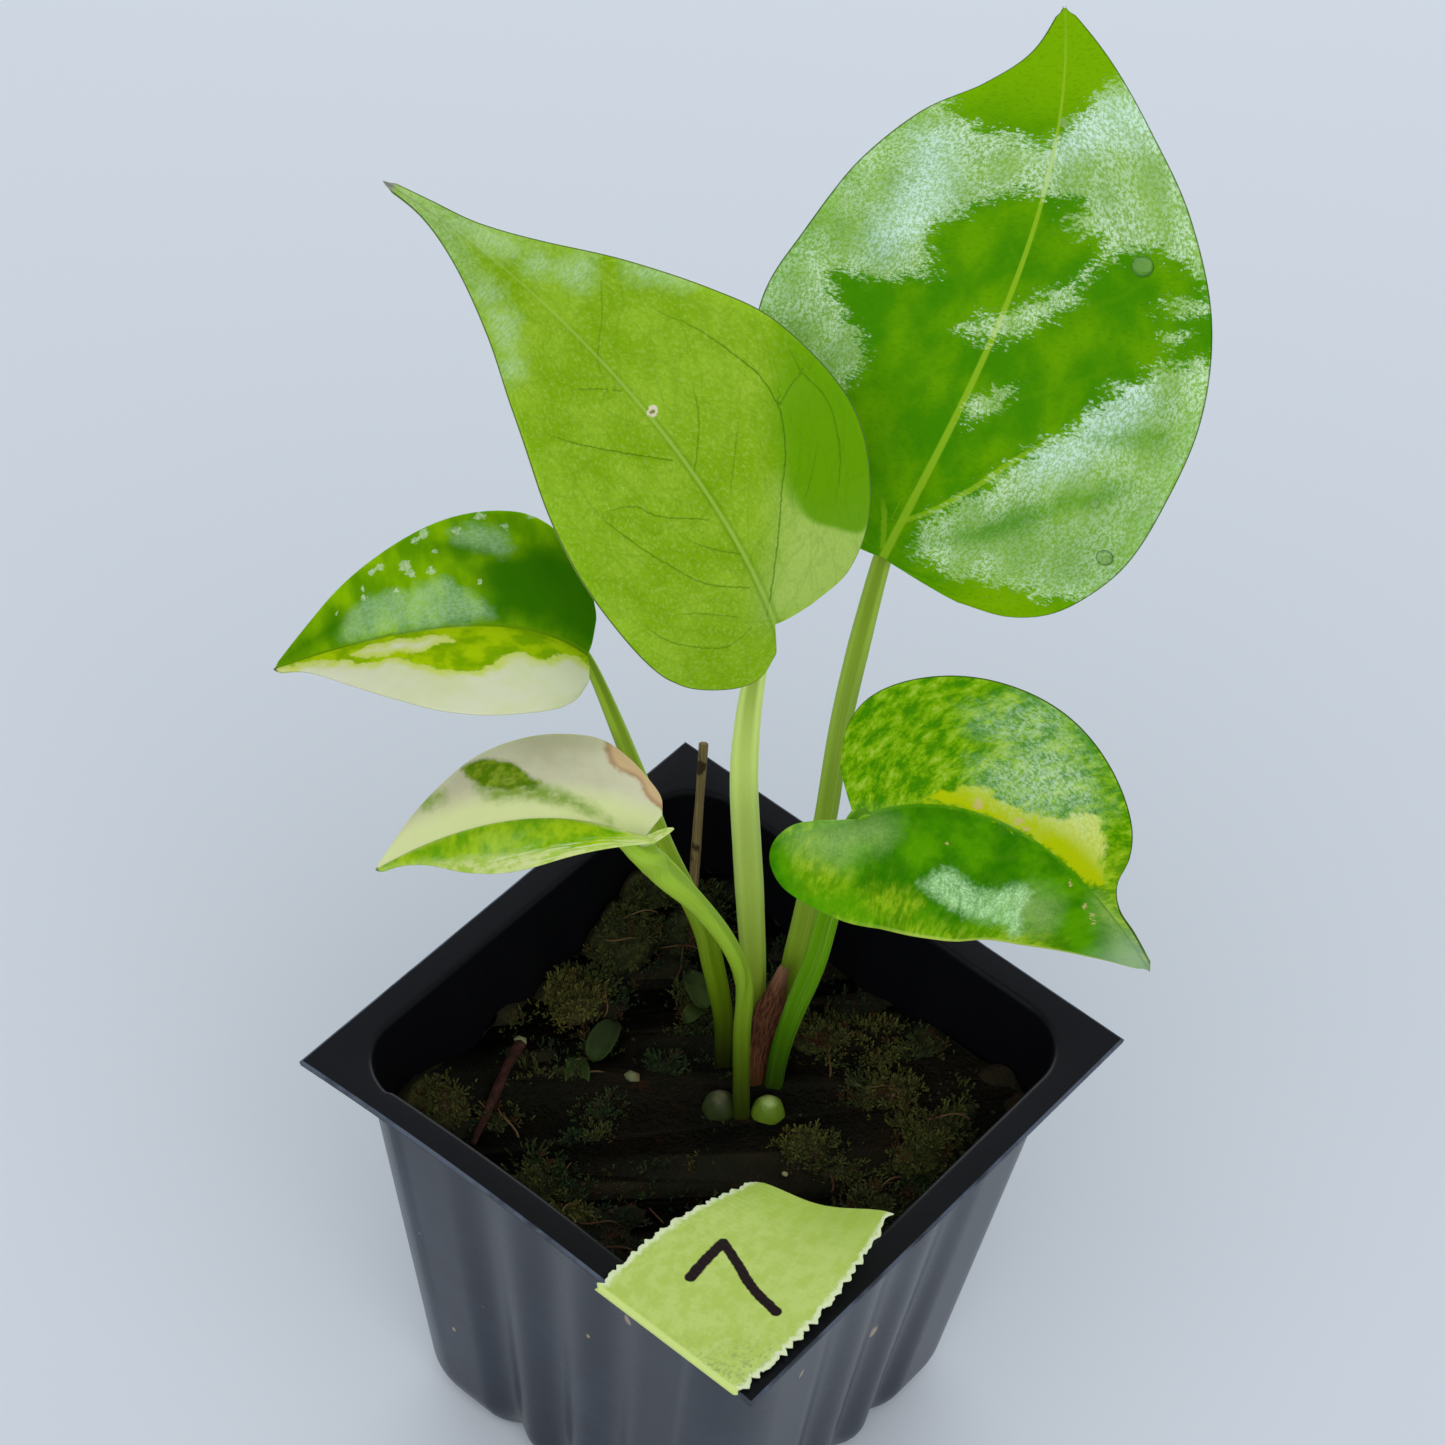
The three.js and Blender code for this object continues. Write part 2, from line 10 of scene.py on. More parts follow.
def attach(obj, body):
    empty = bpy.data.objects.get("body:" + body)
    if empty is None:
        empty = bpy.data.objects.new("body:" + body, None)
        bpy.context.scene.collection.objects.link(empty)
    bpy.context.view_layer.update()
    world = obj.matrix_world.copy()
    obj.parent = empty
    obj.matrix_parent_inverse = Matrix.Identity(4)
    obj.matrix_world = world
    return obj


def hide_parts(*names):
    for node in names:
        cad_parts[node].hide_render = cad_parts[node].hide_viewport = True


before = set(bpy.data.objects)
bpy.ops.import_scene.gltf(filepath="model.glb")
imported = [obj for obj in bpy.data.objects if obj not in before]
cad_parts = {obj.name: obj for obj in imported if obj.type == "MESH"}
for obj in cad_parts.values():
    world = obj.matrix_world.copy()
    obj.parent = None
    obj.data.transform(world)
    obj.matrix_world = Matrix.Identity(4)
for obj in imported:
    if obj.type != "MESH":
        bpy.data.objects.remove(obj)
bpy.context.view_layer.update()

# A young variegated anthurium in a square nursery pot. Sizes are in millimetres until a mesh is
# made, and the pot's base stands on z = 0.
mm = 0.001
print("frame loaded with", len(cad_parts), "nodes")


# Small helpers for curves and directions
def unit(v):
    return v / np.linalg.norm(v, axis=-1, keepdims=True)


def blend(a, b, share):
    return a + (b - a) * share


def ease(low, high, value):
    share = np.clip((value - low) / (high - low), 0, 1)
    return share * share * (3 - 2 * share)


def lookingTo(elevation, azimuth):
    rise, turn = math.radians(elevation), math.radians(azimuth)
    flat = math.cos(rise)
    return np.array([math.sin(turn) * flat, -math.cos(turn) * flat, math.sin(rise)])


def smoothRoute(points, steps=60):       # the place at a share of the way along a smooth curve
    points = np.array(points, float)
    path = np.vstack([2 * points[0] - points[1], points, 2 * points[-1] - points[-2]])
    t = np.linspace(0, 1, steps, endpoint=False)[:, None]
    spans = []
    for a, b, c, d in zip(path, path[1:], path[2:], path[3:]):
        curl = 2 * a - 5 * b + 4 * c - d
        spans.append(b + 0.5 * t * (c - a + t * (curl + t * (3 * b - 3 * c + d - a))))
    dense = np.vstack([*spans, path[-2:-1]])
    run = np.r_[0, np.cumsum(np.linalg.norm(np.diff(dense, axis=0), axis=1))]
    return lambda share: np.stack([np.interp(np.asarray(share) * run[-1], run, line)
                                   for line in dense.T], -1)


def evenly(values, share):        # a value between several given at even steps
    return np.interp(share, np.linspace(0, 1, len(values)), values)


def toLine(points, x, y):         # distance to a line, the side of it, and the share reached
    nearest, side, reached = np.full(x.shape, np.inf), np.zeros(x.shape), np.zeros(x.shape)
    for i, (a, b) in enumerate(zip(points, points[1:])):
        run, rise = b - a
        t = np.clip(((x - a[0]) * run + (y - a[1]) * rise) / (run * run + rise * rise), 0, 1)
        offX, offY = x - a[0] - t * run, y - a[1] - t * rise
        away = np.hypot(offX, offY)
        closer = away < nearest
        nearest = np.where(closer, away, nearest)
        side = np.where(closer, np.sign(run * offY - rise * offX), side)
        reached = np.where(closer, (i + t) / (len(points) - 1), reached)
    return nearest, side, reached


def insideOf(outline, x, y, finer=5):         # how far inside an outline, negative outside it
    ring = smoothRoute([*outline, outline[0]])(np.linspace(0, 1, finer * len(outline) + 1))
    odd = np.zeros(x.shape, bool)
    for a, b in zip(ring, ring[1:]):
        if a[1] != b[1]:
            meets = a[0] + (y - a[1]) / (b[1] - a[1]) * (b[0] - a[0])
            odd ^= ((a[1] > y) != (b[1] > y)) & (x < meets)
    away = toLine(ring, x, y)[0]
    return np.where(odd, away, -away)


# Shader maths: a Wire is a socket that can stand in an expression
class Wire:
    def __init__(self, finish, socket):
        self.finish, self.socket = finish, socket

    def maths(self, operation, a, b=0.0):
        return self.finish.node("Math", {"operation": operation}, {0: a, 1: b})

    def __add__(self, other):
        return self.maths("ADD", self, other)

    def __radd__(self, other):
        return self.maths("ADD", other, self)

    def __sub__(self, other):
        return self.maths("SUBTRACT", self, other)

    def __rsub__(self, other):
        return self.maths("SUBTRACT", other, self)

    def __mul__(self, other):
        return self.maths("MULTIPLY", self, other)

    def __rmul__(self, other):
        return self.maths("MULTIPLY", other, self)

    def __truediv__(self, other):
        return self.maths("DIVIDE", self, other)

    def __pow__(self, other):
        return self.maths("POWER", self, other)

    def __neg__(self):
        return self.maths("SUBTRACT", 0, self)

    def __abs__(self):
        return self.maths("ABSOLUTE", self)

    def part(self):               # the part after the decimal point
        return self.maths("FRACT", self)


class Finish:                     # one material, with a Principled surface
    def __init__(self, name, constants):
        self.material = bpy.data.materials.new(name)
        self.material.use_nodes = True
        self.tree = self.material.node_tree
        self.surface = self.tree.nodes["Principled BSDF"]
        for socket, value in constants.items():
            self.surface.inputs[socket].default_value = value

    def node(self, kind, settings, sockets, out=0):
        made = self.tree.nodes.new("ShaderNode" + kind)
        for name, value in settings.items():
            setattr(made, name, value)
        for name, value in sockets.items():
            if isinstance(value, Wire):
                self.tree.links.new(value.socket, made.inputs[name])
            else:
                made.inputs[name].default_value = value
        return Wire(self, made.outputs[out])

    def feed(self, socket, value):
        if isinstance(value, Wire):
            self.tree.links.new(value.socket, self.surface.inputs[socket])
        else:
            self.surface.inputs[socket].default_value = value

    def mark(self, name):         # a vector stored on the mesh, as three numbers and whole
        whole = self.node("Attribute", {"attribute_name": name}, {}, 1)
        return [self.node("SeparateXYZ", {}, {0: whole}, i) for i in range(3)] + [whole]

    def place(self):
        return self.node("TexCoord", {}, {}, 3)

    def vector(self, x, y, z=0.0):
        return self.node("CombineXYZ", {}, {0: x, 1: y, 2: z})

    def cloud(self, place, scale, detail=3.0, rough=0.5):
        return self.node("TexNoise", {}, {"Vector": place, "Scale": scale, "Detail": detail,
                                          "Roughness": rough})

    def smooth(self, wire, low, high):
        return self.node("MapRange", {"interpolation_type": "SMOOTHSTEP"},
                         {0: wire, 1: low, 2: high})

    def most(self, a, b):
        return self.node("Math", {"operation": "MAXIMUM"}, {0: a, 1: b})

    def mix(self, a, b, factor):  # colours may be given as a screen shows them
        a, b = (tint(*shade) if isinstance(shade, tuple) else shade for shade in (a, b))
        return self.node("Mix", {"data_type": "RGBA"}, {0: factor, 6: a, 7: b}, 2)

    def wash(self, shade, factor):        # lays a shade over the colour so far
        self.colour = self.mix(self.colour, shade, factor)

    def done(self, rough, height=None):   # height is in millimetres
        self.feed("Base Color", self.colour)
        self.feed("Roughness", rough)
        if height is not None:
            self.feed("Normal", self.node("Bump", {}, {"Distance": mm, "Height": height}))
        return self


def tint(red, green, blue):       # a colour as a screen shows it, from 0 to 255
    return tuple(((c / 255 + 0.055) / 1.055) ** 2.4 for c in (red, green, blue)) + (1,)


def flesh(weight, spread, depth): # light that goes in and comes out, with its depth in mm
    return {"Subsurface Weight": weight, "Subsurface Radius": spread,
            "Subsurface Scale": depth * mm}


# Meshes grown from a flat grid: form gives each vertex its place and its marks
def grown(name, columns, rows, form, slab=False, wrap=False, weld=1e-7):
    bm = bmesh.new()
    bmesh.ops.create_grid(bm, x_segments=columns, y_segments=rows, size=0.5)
    bmesh.ops.translate(bm, verts=bm.verts[:], vec=(0.5, 0.5, 0))
    if slab:
        bmesh.ops.solidify(bm, geom=bm.faces[:], thickness=1)
    flat = np.array([v.co for v in bm.verts])
    places, marks = form(flat[:, 0], flat[:, 1], -flat[:, 2])
    for v, place in zip(bm.verts, places):
        v.co = Vector(place) * mm
    for mark, values in marks.items():
        layer = bm.verts.layers.float_vector.new(mark)
        for v, value in zip(bm.verts, values):
            v[layer] = Vector(value)
    if wrap:
        bmesh.ops.remove_doubles(bm, verts=bm.verts[:], dist=weld)
        edges = [e for e in bm.edges if e.is_boundary]
        if edges:
            bmesh.ops.holes_fill(bm, edges=edges, sides=0)
    return finished(name, bm)


def finished(name, bm):
    bmesh.ops.recalc_face_normals(bm, faces=bm.faces[:])
    for face in bm.faces:
        face.smooth = True
    mesh = bpy.data.meshes.new(name)
    bm.to_mesh(mesh)
    bm.free()
    obj = bpy.data.objects.new(name, mesh)
    bpy.context.scene.collection.objects.link(obj)
    return obj


def settle(obj, finish, slot, *nodes):
    obj.data.materials.clear()
    obj.data.materials.append(finish.material)
    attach(obj, "root")
    if nodes:
        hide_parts(*nodes)


# The camera, at the photograph's place and tilt, for a square frame
view = {"place": (159.456, -219.892, 413.753), "target": (-31.2, 37.765, 61.5), "roll": 5.25,
        "focalPixels": 4000, "framePixels": 1445, "sensor": 36, "clip": (0.01, 20)}


def makeCamera():
    data = bpy.data.cameras.new("camera")
    data.sensor_width = view["sensor"]
    data.lens = view["focalPixels"] / view["framePixels"] * data.sensor_width
    data.clip_start, data.clip_end = view["clip"]
    camera = bpy.data.objects.new("camera", data)
    bpy.context.scene.collection.objects.link(camera)
    place, target = Vector(view["place"]) * mm, Vector(view["target"]) * mm
    aim = (target - place).to_track_quat("-Z", "Y").to_matrix().to_4x4()
    roll = Matrix.Rotation(math.radians(view["roll"]), 4, "Z")
    camera.matrix_world = Matrix.Translation(place) @ aim @ roll
    bpy.context.scene.camera = camera


# Soft studio light: an even pale room, one broad panel before the plant and a low one behind it
studio = {
    "room": tint(205, 214, 224), "roomLight": 0.7,
    "floor": tint(207, 212, 218), "floorSize": 6.0, "aimedAt": (0, 5, 100),
    "panels": {                   # azimuth, elevation, distance, width, height, brightness
        "panelFront": (36.5, 50, 1.3, 2.2, 1.6, 1.4),
        "panelBack": (216, 12, 0.9, 1.4, 0.5, 2.4),
    },
}


def makeStudio():
    world = bpy.data.worlds.new("room")
    bpy.context.scene.world = world
    world.use_nodes = True
    background = world.node_tree.nodes["Background"]
    background.inputs["Color"].default_value = studio["room"]
    background.inputs["Strength"].default_value = studio["roomLight"]
    middle = Vector(studio["aimedAt"]) * mm
    for name, (azimuth, elevation, distance, width, height, glow) in studio["panels"].items():
        data = bpy.data.lights.new(name, "AREA")
        data.shape, data.size, data.size_y = "RECTANGLE", width, height
        data.energy = math.pi * width * height * glow
        lamp = bpy.data.objects.new(name, data)
        bpy.context.scene.collection.objects.link(lamp)
        away = Vector(lookingTo(elevation, azimuth))
        lamp.location = middle + away * distance
        lamp.rotation_euler = away.to_track_quat("Z", "Y").to_euler()
        lamp.visible_camera = False
    bm = bmesh.new()
    bmesh.ops.create_grid(bm, x_segments=1, y_segments=1, size=studio["floorSize"] / 2)
    floor = finished("floor", bm)
    paint = Finish("pale floor", {"Base Color": studio["floor"], "Roughness": 0.9,
                                  "Specular IOR Level": 0.1})
    floor.data.materials.append(paint.material)
    bpy.context.scene.view_settings.view_transform = "Standard"


makeCamera()
makeStudio()
print("camera, light and floor made")

# The leaves. Facing is where the upper side looks at the base and the tip: elevation, azimuth.
# A margin runs from the lobe beside the petiole to the tip: distance from the midrib, distance
# along it. Areas and threads are seen on the flat leaf: across it, left negative, and along it.
# Some areas mark where a sheen or a bright glint is painted into a leaf's colour, and one where a
# shade is painted.
outlook = 36.5
leafGrid = {"columns": 92, "rows": 140, "lineSteps": 801, "thick": 0.5, "edge": 0.14,
            "edgePower": 10, "droop": 0.004, "rib": 0.7, "ribWidth": 1.1, "ribThins": 0.9,
            "groove": 0.28, "grooveWidth": 0.8, "lobeShare": 0.16, "lobeAnchor": 0.04,
            "tipAnchor": 1.0, "tipShare": 0.985, "tipNarrow": 0.65, "veinSlope": 0.75,
            "veinBend": 0.01, "quiltPower": 0.7, "quiltFrom": (0.5, 5), "quiltTo": (0.8, 1),
            "rippleTurn": 0.42, "rippleShift": 2.1, "rippleOut": 14, "noThread": 99.0,
            "threadFade": 0.6}
leaves = {
    "blade_1": {
        "midrib": [[-2, 23.4, 120.7], [-0.7, 32.6, 137.6], [-0.3, 47.6, 154.6], [-12, 58.3, 166.7]],
        "facing": [(50, outlook), (50, outlook)], "fold": [(6, 6), (6, 6)], "lobeLift": (0, 0),
        "wave": 0.35, "quilt": 0.16, "veinStep": 8.5,
        "left": [[8, -0.2], [13.5, 2], [18, 7.5], [21.2, 13], [23, 20.5], [22, 28], [19, 39],
                 [14, 47], [8, 51.5], [3.5, 55.3], [0.4, 60]],
        "right": [[9, -0.2], [14.5, 1.2], [19, 4.5], [22, 10.5], [23, 18], [22.7, 26],
                  [20, 34.5], [15, 42], [9.5, 48.5], [4.7, 54.6], [0.4, 60]],
        "areas": {
            "sheen": [
                [(-26, 17), (-26, 32), (-21, 42), (-13.5, 49), (-10, 47.5), (-8, 46.5), (-4, 46.5),
                 (-2, 45.5), (0, 47), (2.5, 50), (4.5, 52.5), (8, 53), (14, 47), (19, 41),
                 (21, 37), (15.5, 38.5), (12, 38.5), (9, 37.5), (6.5, 34.5), (6.5, 32.5),
                 (4, 29), (0.5, 25.5), (-1.5, 25.5), (0.5, 29), (4, 32.5), (6.5, 35.5),
                 (7, 38.5), (3, 38.5), (4, 41), (-2, 40.5), (-5.5, 38.5), (-10, 33.5),
                 (-8, 30), (-13.5, 26.5), (-17.5, 26), (-15, 22.5), (-11, 19.5), (-12, 14),
                 (-18, 14.5)],
                [(2.5, 2), (2, 6), (5.5, 11.5), (7.5, 16), (11.5, 22), (12.5, 25), (15.5, 28.5),
                 (19, 30.5), (24.5, 32.5), (26, 26), (26, 18), (24, 10.5), (20, 6), (16, 4.5),
                 (11.5, 3.5), (6.5, 2)],
                [(14.5, 33.5), (17, 36), (20, 36), (18.5, 34.5)],
                [(15.5, 31.7), (18.5, 33.5), (17, 31.7)],
                [(-3.5, 25.5), (-1.5, 28), (0, 27), (-1.5, 25)],
                [(0.7, 19.5), (4, 22.5), (4, 20), (2, 17.5), (0.7, 17.5)]],
            "dull": [
                [(12.5, 20.5), (17, 23.5), (20.5, 24), (18, 22), (14, 20.5)],
                [(3, 4), (7.5, 8.5), (11.5, 13.5), (16, 17), (19.5, 18.5), (14.5, 13.5), (9, 7.5)]],
            # where a bright band of sheen is painted, along the leaf's dark middle
            "glintBand": [
                [(-3, 46), (0, 47.5), (3, 50.5), (7, 51.5), (10, 48.5), (5, 47), (1, 45)],
                [(-14, 44), (-10.5, 45), (-9, 38), (-10.5, 33), (-14, 29), (-15.5, 32), (-14, 38)],
                [(8, 17), (11, 22), (13, 25.5), (16, 28), (17, 24), (14, 19), (10, 15)]],
        },
        "flecks": [(-19, 34, 0.5), (21.5, 17, 0.4), (0.5, 48.5, 0.5)],
        "threads": [([(0, 4.5), (2.5, 7.5), (5, 11.5), (7.5, 16), (11.5, 21.5)], 1),
                    ([(-0.5, 1), (-2, 4.5), (-3.5, 6.5)], 0.7)],
    },
    "blade_2": {
        "midrib": [[-3.3, 7.5, 121.8], [-11, 5.5, 140.8], [-31.2, 2.3, 154.2], [-51.9, 1.4, 154.7]],
        "facing": [(58, outlook), (54, outlook + 5)], "fold": [(10, 10), (10, 10)],
        "lobeLift": (0, 0), "wave": 0.25, "quilt": 0.08, "veinStep": 8,
        "left": [[1, -3.2], [3.6, -4.8], [7, -4.1], [11.3, -1], [13.8, 4], [15.3, 11],
                 [15.7, 19], [14, 27], [10.2, 36], [6.5, 43], [3, 50.5], [1, 56.5], [0.4, 62]],
        "right": [[5, 1.2], [9, 2.8], [13.2, 6.9], [16.3, 13.5], [16.9, 19], [15.5, 26],
                  [12.8, 31.5], [8.8, 38.5], [4.6, 45.5], [2, 51.5], [1, 57], [0.4, 62]],
        "areas": {
            "sheen": [[(0.5, 54), (2, 52), (2.5, 48), (2, 46.5), (0.5, 48.5), (0.3, 52)],
                      [(2, 46), (3.5, 45), (3, 43), (1.5, 44)],
                      [(-3, 48.5), (-2, 47), (-2.5, 45), (-4.5, 46)],
                      [(-4.5, 45), (-3, 43), (-5, 40.5), (-6.5, 41.5)],
                      [(-7.5, 40.5), (-6, 39.5), (-7, 38), (-8.5, 39)],
                      [(6, 42), (6.5, 41), (4, 39.5), (3, 41.5), (3.5, 43)],
                      [(8.5, 38.5), (12, 34.5), (11.5, 33), (8, 37)]],
            "pale": [[(6.5, 13), (3, 8), (-1, 2), (4, 0), (12, 2), (20, 6), (14, 8), (9, 9)]],
            # where the large green leaf stands behind this one, painted as shade
            "shadeBehind": [[(16, 25), (14, 24), (11.5, 21.5), (9, 18.5), (8, 16), (7, 13.5), (7, 11.5),
                        (7.5, 9), (9.5, 7), (11.5, 5.5), (13, 6), (16.5, 6), (20, 15), (20, 24)]],
        },
        "threads": [([(-0.5, 1.5), (2, 6), (4.5, 10), (6.5, 13), (8.5, 15.5), (10.5, 19),
                      (11, 22.5), (10.5, 25), (9, 30), (7.5, 33), (7, 36), (5.5, 39)], 1),
                    ([(10.5, 19.5), (13, 20.5), (14.5, 21), (15, 24)], 0.7),
                    ([(14.5, 21), (15, 17.5), (13.5, 13.5), (11.5, 10.5), (9.5, 8)], 0.8),
                    ([(0, 19), (3.5, 23), (5.5, 26.5), (6, 27.5)], 0.7),
                    ([(-1, 21.5), (-5.5, 26.5), (-9, 31.5), (-9, 34)], 0.9),
                    ([(-0.5, 30), (-2.5, 32), (-5, 34)], 0.7),
                    ([(-1, 5.5), (-5, 9), (-7.5, 13.5), (-9.5, 18.5), (-10.5, 23),
                      (-10, 28)], 0.8),
                    ([(-1.5, 14.5), (-5.5, 18), (-7, 20.5), (-9.5, 22), (-11.5, 22)], 0.8),
                    ([(-2.5, 1.5), (-5.5, 1), (-8.5, 3), (-11.5, 6.5), (-13.5, 12)], 0.7),
                    ([(8, 11), (10, 13), (12.5, 15.5)], 0.5),
                    ([(2, 15.5), (5, 19), (7.5, 21.5)], 0.5),
                    ([(0, 9), (-2.5, 11.5), (-5, 15)], 0.6),
                    ([(-3.5, 3.5), (-7, 6.5), (-10, 8.5)], 0.6),
                    ([(5.5, 39), (3, 36.5), (-0.5, 33.5), (-1.5, 30.5)], 0.5)],
    },
    "blade_3": {
        "midrib": [[-19, -2.9, 113.7], [-24.5, -8.8, 123.2], [-36.1, -19, 116],
                   [-42.9, -24.3, 110.4]],
        "facing": [(76, outlook), (76, outlook)], "fold": [(15, 15), (15, 15)],
        "lobeLift": (0, 0), "wave": 0.2, "quilt": 0.1, "veinStep": 5,
        "left": [[4, 0.2], [7.5, 2.4], [10.6, 6.1], [12.1, 11], [11.5, 16], [9, 20.8],
                 [5.5, 26], [2, 31], [0.4, 35]],
        "right": [[4.5, 1.2], [7.6, 3.2], [10.2, 5.2], [12, 8], [12.2, 11], [11.3, 15.7],
                  [9.4, 20.6], [6.5, 26], [3.3, 30.7], [0.4, 35]],
        "areas": {
            "deep": [[(6, 13.5), (7.5, 11.5), (8.5, 9), (9.5, 6), (7, 1), (0.5, -2), (0.3, 7),
                      (0.3, 15), (1.5, 12.5), (3.5, 12.5)],
                     [(8.5, 16), (9, 13.5), (8, 9.5), (7, 11.5), (7, 14.5)],
                     [(0, 37), (1, 28.5), (2.5, 25.5), (3.5, 27), (2, 31.5)]],
            "sheen": [[(1, 27.5), (2, 26.5), (4, 24.5), (4.5, 20.5), (3.5, 19.5), (4.5, 18.5),
                       (5, 16), (3.5, 14), (2.5, 12.5), (1, 11.5), (0.3, 15), (0.3, 20),
                       (0.5, 25)],
                      [(10, 15), (10.5, 13), (10, 10.5), (8.5, 10), (7.5, 10.5), (8.5, 14)]],
            "cream": [[(0, 35), (-0.5, 32), (-1.5, 28.5), (-2.5, 26), (-3.5, 24), (-3.5, 21),
                       (-5, 18.5), (-6, 16.5), (-6.5, 13), (-5, 10.5), (-4, 9.5), (-3.5, 8.5),
                       (-4, 7.5), (-4, 6), (-2.5, 4.5), (-2, 3), (-1.5, 1), (-3, -2), (-9, 0),
                       (-14, 11.5), (-11.5, 20.5), (-5.5, 28.5), (-1.5, 34)],
                      [(-1.5, 26), (-1, 24), (-1, 20), (-1.5, 16), (-2.5, 15), (-2.5, 17),
                       (-3.5, 18.5), (-3, 21), (-3, 23.5)]],
        },
        "flecks": [(11.5, 12.5, 0.5), (10, 17.5, 0.55), (9.5, 18.3, 0.35), (10, 14.5, 0.4),
                   (10.5, 10.5, 0.35), (7, 22.8, 0.4), (7.3, 22, 0.45), (7, 19.5, 0.6),
                   (6, 19, 0.45), (6, 17, 0.4), (5.5, 24, 0.28), (4.5, 24, 0.3), (3.5, 27, 0.2),
                   (4.5, 12.5, 0.22), (4.5, 20.5, 0.2), (8, 16.5, 0.22), (12, 8.5, 0.3)],
    },
    "blade_4": {
        "midrib": [[-6, -8.2, 99.8], [-15.2, -13.2, 103.4], [-22.9, -19.1, 97.2],
                   [-28.2, -24.6, 90.7]],
        "facing": [(80, outlook), (80, outlook)], "fold": [(60, 16), (20, 20)],
        "lobeLift": (72, 20), "wave": 0.2, "quilt": 0.08, "veinStep": 4.5,
        "left": [[1.4, -2.4], [3.2, -4.6], [5.2, -3.4], [7.3, -0.6], [8.8, 2.8], [9.6, 6.5],
                 [9.8, 10], [8.8, 14], [6.4, 18.8], [3.2, 23.5], [1.2, 27.5], [0.4, 30.5]],
        "right": [[2.8, -1], [4.6, -0.2], [6, 1.5], [7.5, 3.6], [8.8, 6], [9, 8.8],
                  [8.6, 12.5], [7.4, 17], [5.3, 21.3], [3.2, 25.2], [1.3, 28.5], [0.4, 30.5]],
        "areas": {
            "patch": [[(6.6, 18.5), (7, 17.5), (6.7, 15.7), (6.3, 14), (5.4, 12.9), (4.5, 12),
                       (3.6, 10.8), (3.1, 12), (3.4, 15), (4.3, 16.9), (5.5, 18.2)]],
            "faint": [[(4.8, 17.6), (3.6, 15), (3.6, 11), (2.8, 9.1), (2.2, 6.6), (1.2, 5),
                       (0.3, 3.5), (0.8, 6.4), (1.4, 9), (1.9, 12), (2.3, 15.1), (3.4, 17)],
                      [(4.5, 23.5), (5, 21), (4, 20.5), (3.5, 23)]],
            "scorch": [[(10, 6), (9.5, 4.5), (8, 2.5), (6.5, 1), (5.5, -1), (3.5, -1.5), (4, 1),
                        (5.5, 2.5), (6, 4.5), (7.5, 5.5)]],
            "green": [[(0, 31), (0, 24), (0, 19), (0, 14), (0, 8.5), (-2, 4), (-4.5, 1),
                       (-8.5, 4.5), (-7.5, 8.5), (-6.5, 12.5), (-5, 17.5), (-3, 23)]],
            "streaks": [[(-5, 18), (-6, 15), (-6.5, 10.5), (-6.5, 6.5), (-5, 2.5), (3, -4),
                         (-12, 0), (-13.5, 6), (-13, 9.5), (-10, 14.5)]],
        },
    },
    "blade_5": {
        "midrib": [[9.6, 7.1, 102.4], [20.8, 14.9, 113.4], [31.7, 21.4, 96.5], [37.8, 24.2, 86]],
        "facing": [(60, outlook), (35, outlook - 30)], "fold": [(10, 10), (10, 10)],
        "lobeLift": (0, 30), "wave": 0.3, "quilt": 0.12, "veinStep": 6,
        "left": [[6, 0.5], [9.6, 2.2], [12, 4.6], [13.4, 8.5], [13.7, 12.5], [12.9, 17],
                 [10.7, 22], [8, 26.3], [5.5, 28.7], [2.6, 30.4], [1.1, 33.3], [0.9, 37],
                 [0.5, 42]],
        "right": [[-0.5, -2.6], [-1.1, -4.8], [-1.2, -6.6], [-0.5, -8.3], [0.8, -9.3],
                  [2.8, -9.5], [5.4, -8.5], [8.5, -5.5], [11.1, -1.9], [13.4, 4], [14.2, 9.5],
                  [13.7, 14.5], [11.5, 20.5], [8.9, 27.5], [5.5, 35], [2.3, 40], [0.5, 42]],
        "areas": {
            "yellow": [[(-0.5, 7.5), (-1.5, 9), (-2.5, 12), (-2.5, 14.5), (-2, 15.5), (-2.5, 18),
                        (-3.5, 20.5), (-6, 23), (-5, 25), (-4.5, 26.5), (-3, 27), (-1.5, 29),
                        (-0.3, 28), (-0.3, 24.5), (-0.2, 20), (-0.1, 15.5), (-0.1, 12)]],
            "fresh": [[(-3, 27), (-6, 28), (-4, 29.5), (-2, 30.5), (-0.5, 34), (-1, 29.5)],
                      [(8.5, -1), (8.5, 2), (9.5, 5), (10.5, 7.5), (11.5, 5), (10, -0.5)],
                      [(9.5, -4), (12.5, 2), (13, 14.5), (9.5, 23.5), (6.5, 31), (9, 31),
                       (13.5, 20.5), (16, 6.5), (12.5, -2.5)],
                      [(0.5, -6), (1.5, -4), (3.5, -4.5), (6, -2), (6.5, -4), (5, -6), (2, -6.5)]],
            # where a hazy sheen is painted
            "sheenHaze": [[(-3.5, 13), (-6.5, 14), (-8, 15), (-11, 16.5), (-9.5, 19), (-8, 21.5),
                      (-6, 22.5), (-4, 20.5), (-2.5, 18), (-2.5, 15.5)],
                     [(-9.5, 12), (-11, 13.5), (-12, 16.5), (-10, 16), (-8.5, 13)]],
            "sheen": [[(8.6, 7.6), (6.9, 11), (7.4, 13.6), (7.8, 15.2), (7, 18), (5, 20.6),
                       (4.9, 23), (6.6, 23), (8.6, 25.2), (9.2, 23.6), (8.9, 21.6), (10.2, 17.5),
                       (10.6, 12.5)]],
            # where a pale sheen is painted
            "pale": [[(6.2, 21.6), (4.4, 22.8), (3.6, 25.8), (4.4, 27.9), (6.1, 28.1), (7.7, 24.9),
                      (7.7, 22.2)],
                     [(0.3, 30.5), (-0.5, 33.5), (0.3, 38.5), (0.5, 41.5), (1.5, 40.5),
                      (1.5, 35.5)],
